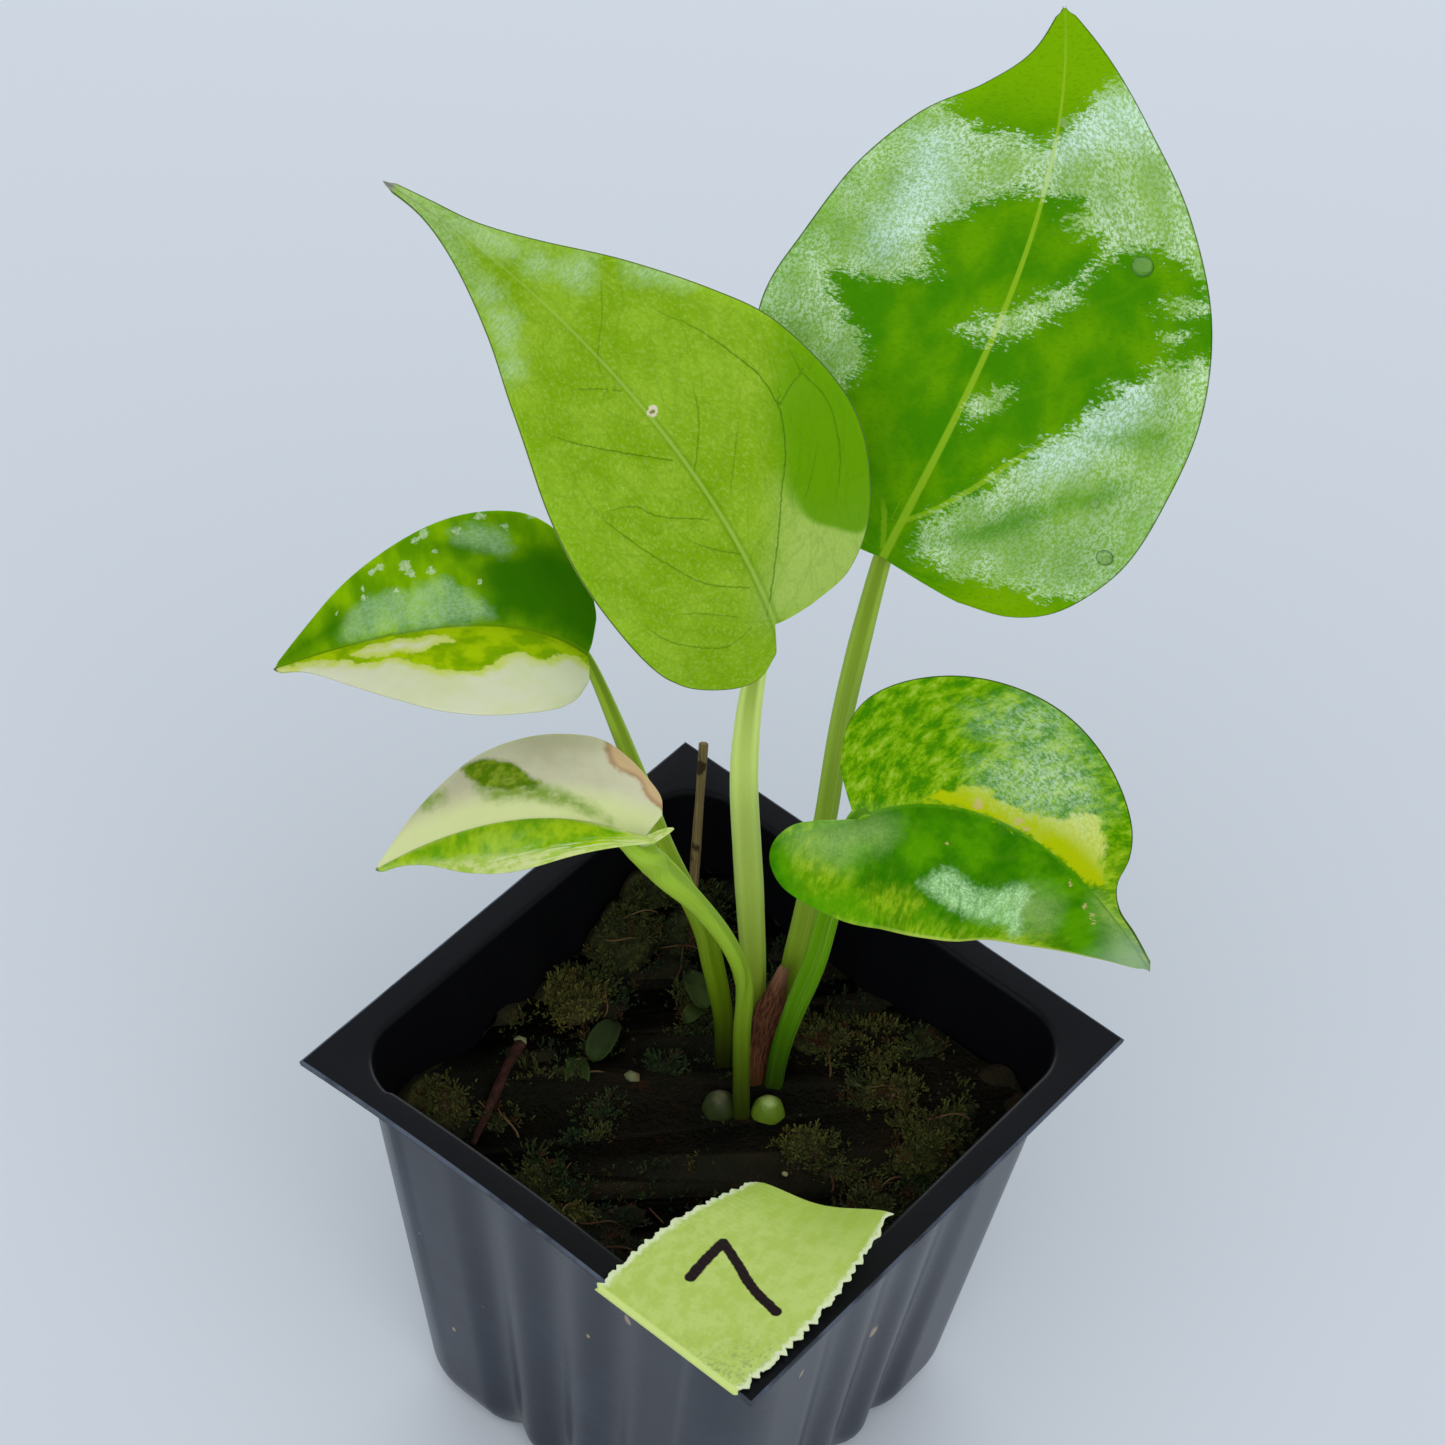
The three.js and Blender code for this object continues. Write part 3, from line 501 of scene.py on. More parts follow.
                     [(-0.8, -7), (-0.6, -4), (-0.3, -1.5), (0.4, 1.4), (1.8, 4.4), (3.8, 3.4),
                      (3.6, 0.2), (4.4, -2), (3.2, -4.2), (1.6, -6.2)]],
        },
        "flecks": [(-1, 13, 0.5), (-1, 17.5, 0.45), (-0.7, 18.6, 0.3), (4, 10.5, 0.15),
                   (1, 26.5, 0.25), (1.5, 30, 0.3), (1.6, 31.5, 0.3), (2, 32.5, 0.2)],
    },
}


def veinRun(out, along):          # equal along each side vein, as it climbs away from the midrib
    return along - leafGrid["veinSlope"] * out - leafGrid["veinBend"] * out * out


def leafSheet(leaf):              # where a place on the flat leaf lies once the leaf is bent
    p = np.array(leaf["midrib"], float)
    t = np.linspace(0, 1, leafGrid["lineSteps"])[:, None]
    line = ((1 - t) ** 3 * p[0] + 3 * t * (1 - t) ** 2 * p[1] + 3 * t * t * (1 - t) * p[2]
            + t ** 3 * p[3])
    slope = (1 - t) ** 2 * (p[1] - p[0]) + 2 * t * (1 - t) * (p[2] - p[1]) + t * t * (p[3] - p[2])
    run = np.r_[0, np.cumsum(np.linalg.norm(np.diff(line, axis=0), axis=1))]
    length = run[-1]
    atBase, atTip = (lookingTo(*way) for way in leaf["facing"])
    droop = leafGrid["droop"]

    def place(half, out, along):
        share = np.clip(along / length, 0, 1)
        centre = np.stack([np.interp(share * length, run, c) for c in line.T], -1)
        tangent = unit(np.stack([np.interp(share * length, run, c) for c in slope.T], -1))
        facing = blend(atBase, atTip, (share * share)[:, None])
        side = unit(np.cross(tangent, facing))
        normal = np.cross(side, tangent)
        right = half > 0
        foldBase = np.where(right, leaf["fold"][1][0], leaf["fold"][0][0])
        foldTip = np.where(right, leaf["fold"][1][1], leaf["fold"][0][1])
        fold = np.radians(foldTip + (foldBase - foldTip) * (1 - share) ** 3)
        lean = fold - droop * out
        flat = (np.sin(fold) - np.sin(lean)) / droop
        rise = (np.cos(lean) - np.cos(fold)) / droop
        shift = np.where(right, leafGrid["rippleShift"], 0)
        ripple = leaf["wave"] * np.sin(leafGrid["rippleTurn"] * along + shift)
        ripple = ripple * (out / leafGrid["rippleOut"]) ** 2
        back = np.minimum(along, 0)
        lift = np.radians(np.where(right, leaf["lobeLift"][1], leaf["lobeLift"][0]))
        up = rise + ripple - back * np.sin(lift)
        return (centre + side * (half * flat)[:, None] + normal * up[:, None]
                + tangent * (back * np.cos(lift))[:, None])
    return place, length


def leafNormal(place, half, out, along, step=0.05):
    outward = place(half, out + step, along) - place(half, out - step, along)
    onward = place(half, out, along + step) - place(half, out, along - step)
    return unit(np.cross(outward * half[:, None], onward))


def threadMarks(leaf, across, along):         # distance to the nearest thread vein, and how strong
    nearest = np.full(across.shape, leafGrid["noThread"])
    side, strong = np.ones(across.shape), np.zeros(across.shape)
    for points, strength in leaf.get("threads", []):
        line = smoothRoute(points)(np.linspace(0, 1, 6 * len(points)))
        away, left, reached = toLine(line, across, along)
        closer = away < nearest
        nearest = np.where(closer, away, nearest)
        side = np.where(closer, left, side)
        fade = strength * (1 - ease(leafGrid["threadFade"], 1, reached))
        fade = np.where((reached > 0) & (reached < 1), fade, 0)
        strong = np.where(closer, fade, strong)
    return nearest * side, strong


def leafForm(leaf):
    place, length = leafSheet(leaf)
    margins = [smoothRoute(leaf["left"]), smoothRoute(leaf["right"])]

    def form(column, share, under):
        half = np.where(column < 0.5, -1.0, 1.0)
        size = np.abs(2 * column - 1)
        edge = np.where((half < 0)[:, None], margins[0](share), margins[1](share))
        lobe = leafGrid["lobeShare"]
        beyond = np.maximum(0, (share - lobe) / (1 - lobe))
        anchor = length * blend(leafGrid["lobeAnchor"] * share, leafGrid["tipAnchor"], beyond)
        narrow = 1 - leafGrid["tipNarrow"] * ease(leafGrid["tipShare"], 1, share)
        out = edge[:, 0] * size * narrow
        along = blend(anchor, edge[:, 1], size)
        normal = leafNormal(place, half, out, along)
        rib = leafGrid["rib"] * np.exp(-(out / leafGrid["ribWidth"]) ** 2)
        rib = rib * (1 - leafGrid["ribThins"] * share)
        groove = leafGrid["groove"] * np.exp(-(out / leafGrid["grooveWidth"]) ** 2)
        vein = veinRun(np.abs(out), along) / leaf["veinStep"]
        quilt = leaf["quilt"] * np.abs(np.sin(np.pi * vein)) ** leafGrid["quiltPower"]
        quilt = quilt * ease(*leafGrid["quiltFrom"], out) * (1 - ease(*leafGrid["quiltTo"], size))
        thick = blend(leafGrid["thick"], leafGrid["edge"], size ** leafGrid["edgePower"]) / 2
        top = thick + quilt - groove * (1 - share)
        bottom = -thick + quilt - rib
        places = place(half, out, along) + normal * np.where(under > 0.5, bottom, top)[:, None]
        across = out * half
        reach = np.hypot(edge[:, 0], edge[:, 1] - anchor) * (1 - size)
        away, strong = threadMarks(leaf, across, along)
        marks = {"leafPlace": np.stack([across, along, reach], 1),
                 "leafSide": np.stack([under, away, strong], 1)}
        depths = [np.max([insideOf(outline, across, along) for outline in outlines], axis=0)
                  for outlines in leaf["areas"].values()]
        depths += [0 * across] * (-len(depths) % 3)
        for i in range(0, len(depths), 3):
            marks["leafAreas%d" % i] = np.stack(depths[i:i + 3], 1)
        return places, marks
    return form


# Leaf finishes. Every leaf has its own, built from the same few helpers.
leafLook = {"IOR": 1.45, "Specular IOR Level": 0.0, "Coat IOR": 1.9, "Coat Roughness": 0.22,
            **flesh(0.25, (0.6, 1.0, 0.25), 0.8)}
translucentLook = {**leafLook, "Coat IOR": 1.7, "Coat Roughness": 0.3,
                   **flesh(0.5, (0.9, 1.0, 0.4), 0.8)}


class LeafFinish(Finish):
    def __init__(self, name, leaf, look=leafLook):
        super().__init__(name, look)
        self.across, self.along, self.margin, self.spot = self.mark("leafPlace")
        self.under, self.away, self.strong = self.mark("leafSide")[:3]
        self.share = self.along / leafSheet(leaf)[1]
        self.out = abs(self.across)
        self.step, self.flecks, self.areas = leaf["veinStep"], leaf.get("flecks", []), {}
        for i, name in enumerate(leaf["areas"]):
            if i % 3 == 0:
                marks = self.mark("leafAreas%d" % i)
            self.areas[name] = marks[i % 3]
        drift = self.cloud(self.spot, 0.12, 2.0)
        self.vein = veinRun(self.out, self.along) / self.step + 0.5 + (drift - 0.5) * 0.4
        self.lengthwise = self.vector(self.across * 0.5 - self.along * 0.3, self.along)
        self.grain = self.cloud(self.lengthwise, 3.2, 5.0, 0.7)
        self.patch = self.cloud(self.spot, 0.16, 4.0, 0.55)

    def sideVeins(self, width):   # 1 on the side veins, which fade toward the margin
        off = abs(self.vein.part() - 0.5) * self.step
        return (1 - self.smooth(off, width * 0.3, width)) * self.smooth(self.margin, 0.5, 4.0)

    def net(self, width, scale=0.42):     # a fine mesh of thread veins
        bend = self.cloud(self.spot, 0.6, 3.0)
        spot = self.vector(self.vein * self.step * 0.8 + bend, self.across + bend * 2)
        edge = self.node("TexVoronoi", {"feature": "DISTANCE_TO_EDGE"},
                         {"Vector": spot, "Scale": scale})
        return 1 - self.smooth(edge, width * 0.3, width)

    def threads(self, width):     # the thread veins that are drawn one by one
        wobble = (self.cloud(self.spot, 1.5, 2.0) - 0.5) * 0.3
        return (1 - self.smooth(abs(self.away + wobble), width * 0.35, width)) * self.strong

    def area(self, name, ragged, soft, scale=0.8):    # an area with a ragged edge
        noisy = self.cloud(self.spot, scale, 6.0, 0.65) - 0.5
        return self.smooth(self.areas[name] + noisy * (2 * ragged), -soft, soft)

    def fine(self, low, high, rough=0.78):    # grains of a quarter of a millimetre
        return self.smooth(self.cloud(self.spot, 2.6, 6.0, rough), low, high)

    def midrib(self, atBase, atTip):
        return 1 - self.smooth(self.out / blend(atBase, atTip, self.share), 0.5, 1.0)

    def rim(self, low, high):     # 1 along the margin
        return 1 - self.smooth(self.margin, low, high)

    def dots(self, wobble):       # 1 in each of the leaf's flecks
        bent = (self.cloud(self.spot, 2.2, 2.0) - 0.5) * wobble
        dots = None
        for x, y, size in self.flecks:
            gap = ((self.across - x) ** 2.0 + (self.along - y) ** 2.0) ** 0.5 + bent
            dot = 1 - self.smooth(gap, size * 0.75, size * 1.1)
            dots = dot if dots is None else self.most(dots, dot)
        return dots

    def leafy(self, gloss, inner, beneath, rough, height):    # inner shows through the back
        veins = self.most(self.sideVeins(0.5) * 0.4, self.midrib(1.0, 0.4) * 0.7)
        back = self.mix(self.mix(inner, beneath, 0.6), (176, 198, 128), veins)
        self.wash(back, self.under)
        self.feed("Coat Weight", gloss * (1 - self.under))
        return self.done(rough + self.under * 0.2, height)


def greenLeaf(leaf):
    f = LeafFinish("glossy green leaf", leaf)
    f.colour = f.mix((66, 134, 0), (100, 156, 0), f.smooth(f.patch, 0.35, 0.7))
    f.wash((124, 174, 0), f.smooth(f.along, 43, 54) * 0.9)
    low = f.smooth(f.across, 3, 12) * (1 - f.smooth(f.along, 2, 7))
    f.wash((122, 168, 0), low * 0.85)
    f.wash((46, 108, 0), f.smooth(f.grain, 0.5, 0.68) * 0.35)
    f.wash((104, 158, 8), f.sideVeins(0.6) * 0.12)
    f.wash((140, 180, 30), f.threads(0.4) * 0.75)
    inner = f.colour
    # painted sheen: a pale wax sheen, bright glints and a bright band are painted into the colour
    # where the sheen areas lie, and the midrib is whiter where it crosses them; the coat's gloss
    # follows the same masks
    streak = f.cloud(f.lengthwise, 0.7, 5.0, 0.6)
    sheenMask = f.areas["sheen"] / 2.5 + (f.grain - 0.5) * 3.0 + (streak - 0.5) * 1.8
    sheenMask = f.smooth(sheenMask, -0.1, 0.3) * (1 - f.area("dull", 1.4, 1.2) * 0.7)
    broad = f.smooth(f.cloud(f.spot, 0.18, 4.0), 0.36, 0.62)
    near = 1 - f.smooth(f.areas["sheen"], 1, 8) * 0.45
    fine = f.fine(0.44, 0.57, 0.8)
    f.wash((170, 204, 88), sheenMask * 0.34)
    glint = sheenMask * near * (0.38 + broad * 0.62) * (0.03 + fine * 0.97)
    glintBand = f.area("glintBand", 2.0, 2.2) * sheenMask * (0.3 + fine * 0.7)
    f.wash((206, 230, 198), glint * 0.7)
    f.wash((204, 232, 228), glintBand * 0.7)
    rib = f.midrib(0.6, 0.15)
    f.wash((142, 182, 34), rib * 0.85)
    f.wash((196, 216, 150), rib * sheenMask * 0.5)
    f.wash((150, 176, 110), f.dots(0.8) * 0.5)
    f.wash((58, 66, 30), f.rim(0.06, 0.2) * 0.8)
    gloss = glint * 0.6 + glintBand * 0.2 + sheenMask * 0.06 + 0.005
    height = f.grain * 0.03 - f.sideVeins(0.6) * 0.02 - f.threads(0.7) * 0.05
    return f.leafy(gloss, inner, (118, 152, 76), 0.5, height)


def limeLeaf(leaf):
    f = LeafFinish("light yellow-green leaf", leaf, translucentLook)
    f.colour = f.mix((126, 166, 16), (144, 180, 40), f.smooth(f.patch, 0.35, 0.65))
    f.wash((168, 192, 100), f.area("pale", 1.0, 3.0) * 0.8)
    fine = f.cloud(f.spot, 2.0, 6.0, 0.72)
    f.wash((172, 198, 88), f.smooth(fine, 0.48, 0.66) * 0.4)
    f.wash((112, 154, 10), f.smooth(fine, 0.5, 0.36) * 0.24)
    # painted shade where the large green leaf stands behind this one and holds back the light that
    # shines through it
    blur = 0.35 + f.smooth(f.along, 8, 17) * 2.0
    shadeBehind = f.smooth(f.areas["shadeBehind"] / blur, -1, 1)
    f.wash((97, 152, 0), shadeBehind * (0.92 - f.smooth(f.along, 17, 25) * 0.35))
    f.wash((88, 134, 14), f.net(0.06) * 0.15)
    f.wash((116, 158, 30), f.sideVeins(0.3) * 0.2)
    f.wash((60, 108, 10), f.threads(0.12) * 0.66)
    shadow = f.midrib(0.8, 0.3) * (1 - f.smooth(f.share, 0.3, 0.8))
    f.wash((92, 142, 12), shadow * 0.4)
    rib = f.midrib(0.28, 0.16) * (1 - f.smooth(f.share, 0.3, 0.9) * 0.5)
    f.wash((166, 194, 84), rib * 0.6)
    hole = ((f.across - 0.5) ** 2.0 + (f.along - 26.5) ** 2.0) ** 0.5
    hole = hole + (f.cloud(f.spot, 1.6, 4.0) - 0.5) * 1.2
    f.wash((214, 206, 176), 1 - f.smooth(hole, 0.5, 0.62))
    f.wash((128, 132, 72), 1 - f.smooth(hole, 0.15, 0.3))
    inner = f.colour
    # painted sheen: a pale wax sheen in patches and along the tip's margins is laid into the colour
    sheen = f.area("sheen", 1.3, 1.4, 0.7) * (0.35 + f.smooth(f.grain, 0.4, 0.62) * 0.65)
    tipward = f.smooth(f.along, 40, 56) * f.rim(1.5, 4)
    sheen = f.most(sheen, tipward * (0.25 + f.smooth(fine, 0.4, 0.6) * 0.4))
    f.wash((186, 214, 178), sheen * 0.55)
    f.wash((78, 96, 52), f.rim(0.06, 0.18))
    f.wash((136, 136, 124), f.smooth(f.share, 0.97, 0.985))
    height = f.grain * 0.02 - f.threads(0.3) * 0.03 - f.net(0.08) * 0.015
    return f.leafy(sheen * 0.3 + 0.01, inner, (146, 178, 84), 0.5, height)


def creamBandLeaf(leaf):
    f = LeafFinish("green leaf with a cream half", leaf)
    speckle = f.cloud(f.lengthwise, 0.3, 5.0, 0.5)
    f.colour = f.mix((92, 144, 0), (134, 178, 4), f.smooth(speckle, 0.36, 0.64))
    deep = f.areas["deep"] + (f.cloud(f.spot, 0.3, 5.0) - 0.5) * 3
    f.wash((48, 108, 0), f.smooth(deep, -2.0, 2.2) * 0.95)
    lower = f.smooth(-f.across, 0, 0.3)
    blot = f.cloud(f.spot, 0.4, 5.0)
    f.wash(f.mix((122, 162, 0), (164, 192, 8), f.smooth(blot, 0.36, 0.62)), lower)
    cream = f.mix((212, 212, 182), (206, 210, 162), f.smooth(f.patch, 0.4, 0.7))
    edge = f.areas["cream"] + (f.cloud(f.spot, 0.6, 5.0) - 0.5) * 2
    cream = f.mix((196, 206, 96), cream, f.smooth(edge, 0.1, 1.4))
    f.wash(cream, f.area("cream", 0.9, 0.12, 0.6))
    # painted shadow in the crease along the midrib
    f.wash((100, 142, 10), f.midrib(0.4, 0.25) * 0.8)
    inner = f.colour
    f.wash((200, 214, 176), f.dots(1.0) * (0.3 + f.smooth(f.grain, 0.4, 0.6) * 0.4))
    f.wash((104, 98, 62), f.smooth(f.share, 0.984, 0.994))
    # painted sheen in patches
    fine = f.fine(0.42, 0.6, 0.75)
    sheen = f.area("sheen", 1.2, 0.8, 0.6) * (0.45 + fine * 0.55)
    f.wash((178, 210, 180), sheen * 0.38)
    return f.leafy(sheen * 0.2 + 0.005, inner, (140, 164, 92), 0.45, f.grain * 0.03)


def creamLeaf(leaf):
    f = LeafFinish("cream leaf with a green half", leaf)
    f.colour = f.mix((188, 182, 152), (202, 197, 170), f.smooth(f.patch, 0.4, 0.65))
    f.wash((216, 211, 186), f.smooth(4 - f.along, -6, 4) * 0.7)
    f.wash((216, 222, 158), f.smooth(-f.across, -4.5, -1.5) * 0.85)
    blot = f.cloud(f.spot, 0.7, 5.0, 0.6)
    faint = f.area("faint", 0.9, 0.8, 0.5) * (0.45 + f.smooth(blot, 0.3, 0.6) * 0.55)
    f.wash((126, 154, 46), faint * 0.95)
    patch = f.mix((86, 120, 0), (134, 156, 34), f.smooth(blot, 0.4, 0.66))
    f.wash(patch, f.area("patch", 0.8, 0.3, 0.5))
    lower = f.smooth(-f.across, 0, 0.25)
    pale = f.mix((168, 198, 72), (208, 218, 138), f.smooth(blot, 0.4, 0.6))
    f.wash(pale, lower)
    speckle = f.cloud(f.lengthwise, 0.42, 6.0, 0.6)
    green = f.mix((108, 166, 0), (168, 202, 22), f.smooth(speckle, 0.36, 0.64))
    f.wash(green, lower * f.area("green", 1.6, 0.8, 0.7))
    wisps = f.smooth(f.cloud(f.vector(f.across * 2, f.along * 0.35), 0.9, 5.0, 0.6), 0.5, 0.62)
    f.wash((212, 220, 160), f.area("streaks", 1.0, 1.0) * wisps * 0.8)
    tan = f.mix((160, 112, 66), (202, 164, 118), f.smooth(f.areas["scorch"], 0.1, 0.7))
    f.wash(tan, f.area("scorch", 0.6, 0.3, 0.8) * 0.8)
    f.wash((128, 124, 84), f.smooth(f.share, 0.984, 0.994))
    gloss = f.smooth(f.patch, 0.3, 0.8) * 0.12 + 0.02
    return f.leafy(gloss, f.colour, (164, 186, 104), 0.5, f.grain * 0.02)


def mottledLeaf(leaf):
    f = LeafFinish("mottled green and yellow leaf", leaf)
    slant = f.vector(f.along * 0.3 - f.across * 0.4, f.across * 0.6 + f.along * 0.8)
    speckle = f.cloud(slant, 0.8, 8.0, 0.74)
    f.colour = f.mix((64, 130, 0), (124, 170, 8), f.smooth(speckle, 0.4, 0.58))
    f.wash((172, 198, 76), f.smooth(speckle, 0.53, 0.66) * 0.6)
    # the lower half is a darker green, partly its own colour and partly painted shade where it
    # faces away from the light
    upper = f.smooth(-f.across, 0, 0.3)
    deep = f.mix((44, 116, 0), (82, 150, 0), f.smooth(f.patch, 0.38, 0.64))
    rough = f.most(upper, f.area("fresh", 2.4, 2.5, 0.5) * 0.8) * 0.9 + 0.1
    f.colour = f.mix(deep, f.colour, rough)
    fresh = f.area("fresh", 2.2, 2.0, 0.6) * (0.35 + f.smooth(speckle, 0.44, 0.6) * 0.65)
    f.wash((166, 192, 34), fresh * 0.7)
    yellow = f.mix((172, 188, 6), (184, 196, 74), f.smooth(-f.across, 1.5, 3.5))
    grains = f.smooth(f.cloud(f.spot, 2.4, 6.0, 0.78), 0.43, 0.58) * f.smooth(-f.across, 2, 4.5)
    yellow = f.mix(yellow, (212, 220, 138), grains * 0.6)
    f.wash(yellow, f.area("yellow", 1.3, 0.3, 0.7))
    f.wash((74, 140, 10), f.midrib(0.3, 0.2) * 0.7)
    f.wash((194, 172, 110), f.dots(1.4) * 0.75)
    inner = f.colour
    # painted sheen: a haze of sheen, a pale sheen over the lobe and along the midrib, and a greyish
    # sheen toward the tip are laid into the colour
    fine = f.fine(0.43, 0.58)
    sheenHaze = f.area("sheenHaze", 3.0, 3.2, 0.5) * (0.14 + fine * 0.86)
    f.wash((188, 214, 174), sheenHaze * 0.76)
    f.wash((172, 202, 118), f.area("pale", 1.4, 2.2) * (0.36 + fine * 0.18))
    f.wash((168, 184, 160), f.smooth(f.share, 0.8, 0.95) * 0.5)
    lit = f.rim(0.12, 0.5) * f.smooth(f.across, 0, 1) * f.smooth(f.along, -6, 8)
    f.wash((180, 200, 84), lit * 0.75)
    f.wash((58, 72, 28), f.rim(0.06, 0.2) * f.smooth(-f.across, 0, 1))
    # painted sheen patch, in streaks
    streaky = f.smooth(f.cloud(f.lengthwise, 0.9, 5.0, 0.6), 0.4, 0.56)
    sheen = f.area("sheen", 1.2, 0.9, 1.2) * (0.58 + streaky * 0.42)
    f.wash((194, 238, 170), sheen * (0.44 + fine * 0.44))
    gloss = sheen * 0.35 + sheenHaze * 0.2 + 0.005
    return f.leafy(gloss, inner, (140, 166, 86), 0.45, f.grain * 0.035)


leafFinishes = {"blade_1": (greenLeaf, "leaf_green"), "blade_2": (limeLeaf, "leaf_lime"),
                "blade_3": (creamBandLeaf, "leaf_variegated"),
                "blade_4": (creamLeaf, "leaf_cream"),
                "blade_5": (mottledLeaf, "leaf_variegated")}
for node, leaf in leaves.items():
    makeFinish, slot = leafFinishes[node]
    obj = grown(node + "_leaf", leafGrid["columns"], leafGrid["rows"], leafForm(leaf), slab=True)
    settle(obj, makeFinish(leaf), slot, node)
print("leaves made")

# The petioles, from their foot on the crown to the blade's base and on under its midrib. Tone is
# the colour at the foot and at the top, and shadow how far up the dark of the pot reaches, and how
# strong it is. Aside moves the joint where it would show beside the lobe.
petioleGrid = {"around": 28, "along": 120, "channel": 0.3, "ridge": 0.03, "footZ": 46.6,
               "underRib": (3.0, 9.0), "underThick": 0.4, "gap": (0.5, 0.45), "endRadius": 0.3,
               "samples": 60, "beside": 0.1}
petioles = {
    "petiole_1": {
        "blade": "blade_1", "foot": (0.7, 10.7), "tone": ((118, 146, 24), (154, 182, 62)),
        "shadow": (0.3, 0.8),
        "radii": [1.15, 1.25, 1.35, 1.25, 1.25, 1.2, 1.2, 1],
        "route": [[0.9, 11, 58.5], [0.9, 11.9, 67.6], [0.3, 13.7, 73.1], [-0.8, 17, 85.5],
                  [-1.5, 19, 101.5]]},
    "petiole_2": {
        "blade": "blade_2", "foot": (-1.1, 8.4), "tone": ((138, 164, 36), (216, 236, 132)),
        "shadow": (0.26, 0.76),
        "radii": [1.15, 1.2, 1.45, 1.6, 1.55, 1.5, 1.25, 0.7], "aside": (-0.6, -0.45, 0),
        "route": [[-2, 8.9, 61.5], [-3.8, 9.1, 74.5], [-5.1, 9.1, 83.8], [-5.6, 8.1, 94.3],
                  [-5.7, 7.7, 102.3], [-5.35, 7.55, 111.4]]},
    "petiole_3": {
        "blade": "blade_3", "foot": (-3.7, 7), "tone": ((104, 134, 6), (150, 178, 42)),
        "shadow": (0.26, 0.98),
        "radii": [1.1, 1.1, 1.25, 1.15, 1.1, 1.0, 0.85, 0.6],
        "route": [[-4.4, 6.9, 56.5], [-6.2, 6, 66.7], [-7.5, 5, 73.4], [-11.1, 2.3, 85],
                  [-14, 0.2, 96.5]]},
    "petiole_4": {
        "blade": "blade_4", "foot": (3.35, 1.85), "tone": ((128, 164, 24), (160, 196, 54)),
        "shadow": (0.48, 0.96),
        "radii": [1.05, 0.95, 1, 1, 1, 1.1, 1.5, 1.7],
        "route": [[0.9, 3.4, 60.8], [-0.1, 4.2, 69.1], [-1.4, 2.5, 76.5], [-3.3, -0.3, 83.4],
                  [-4.6, -3.5, 89.3], [-5.9, -5.7, 93.4]]},
    "petiole_5": {
        "blade": "blade_5", "foot": (2.5, 8), "tone": ((68, 118, 0), (108, 164, 0)),
        "shadow": (0.34, 0.74),
        "radii": [1.1, 1.1, 1.15, 1.3, 1.3, 1.2, 1.1, 0.9],
        "route": [[3.4, 7.5, 57], [4.6, 7.6, 65.5], [5.9, 8.3, 74], [6.7, 8.7, 82.9]]},
}


def tubeForm(route, radii, reference, channel=0.0, ridge=0.0, ridges=11, width=0.5, step=0.004):
    line = smoothRoute(route)

    def form(around, share, _):
        angle = 2 * np.pi * around
        tangent = unit(line(np.minimum(share + step, 1)) - line(np.maximum(share - step, 0)))
        front = unit(reference - (tangent @ reference)[:, None] * tangent)
        side = np.cross(tangent, front)
        hollow = channel * np.exp(-((np.mod(angle + np.pi, 2 * np.pi) - np.pi) / width) ** 2)
        radius = evenly(radii, share) * (1 - hollow + ridge * np.cos(ridges * angle))
        places = (line(share) + front * (np.cos(angle) * radius)[:, None]
                  + side * (np.sin(angle) * radius)[:, None])
        return places, {"stalkPlace": np.stack([np.cos(angle), np.sin(angle), share], 1)}
    return form


def petioleForm(stalk):
    leaf = leaves[stalk["blade"]]
    place, _ = leafSheet(leaf)
    facing = lookingTo(*leaf["facing"][0])
    start = [*stalk["foot"], petioleGrid["footZ"]]
    middle, zero = np.ones(2), np.zeros(2)
    onward = np.array(petioleGrid["underRib"])
    beneath = place(middle, zero, onward)
    last, end = stalk["radii"][-1], petioleGrid["endRadius"]
    drop = np.array([blend(last, end, petioleGrid["underThick"]), end]) + petioleGrid["gap"][1]
    upward = leafNormal(place, middle, zero + petioleGrid["beside"], onward)
    beneath = beneath - upward * drop[:, None]
    joint = np.array(leaf["midrib"][0]) - facing * (last + petioleGrid["gap"][0])
    joint = joint + stalk.get("aside", (0, 0, 0))
    route = np.vstack([start, stalk["route"], joint, beneath])
    run = np.r_[0, np.cumsum(np.linalg.norm(np.diff(route, axis=0), axis=1))]
    shares = np.linspace(0, 1, petioleGrid["samples"])
    atJoint = run[-3] / run[-1]
    body = evenly(stalk["radii"], np.minimum(shares / atJoint, 1))
    under = np.clip((shares - atJoint) / (1 - atJoint), 0, 1)
    radii = np.where(shares > atJoint, blend(body, end, under), body)
    return tubeForm(route, radii, facing, petioleGrid["channel"], petioleGrid["ridge"])


def petioleFinish(name, tone, shadow):
    f = Finish("waxy " + name, {"IOR": 1.45, "Specular IOR Level": 0.16,
                                **flesh(0.3, (0.6, 1.0, 0.3), 1.2)})
    x, y, share, _ = f.mark("stalkPlace")
    streak = f.cloud(f.vector(x * 5, y * 5, share * 1.5), 1.6, 4.0)
    f.colour = f.mix(*tone, f.smooth(share, 0.1, 0.7))
    f.wash((206, 222, 136), f.smooth(streak, 0.5, 0.75) * 0.4)
    f.wash(tone[0], f.smooth(x, 0.7, 0.95) * (0.3 + f.smooth(share, 0.6, 0.85) * 0.5))
    f.wash((28, 34, 5), (1 - f.smooth(share, 0.03, shadow[0])) * shadow[1])
    rough = 0.36 + f.cloud(f.vector(x, y, share * 0.3), 6.0) * 0.2
    return f.done(rough, streak * 0.05)


for node, stalk in petioles.items():
    obj = grown(node + "_stalk", petioleGrid["around"], petioleGrid["along"],
                petioleForm(stalk), wrap=True)
    settle(obj, petioleFinish(node, stalk["tone"], stalk["shadow"]), "petiole", node)
print("petioles made")

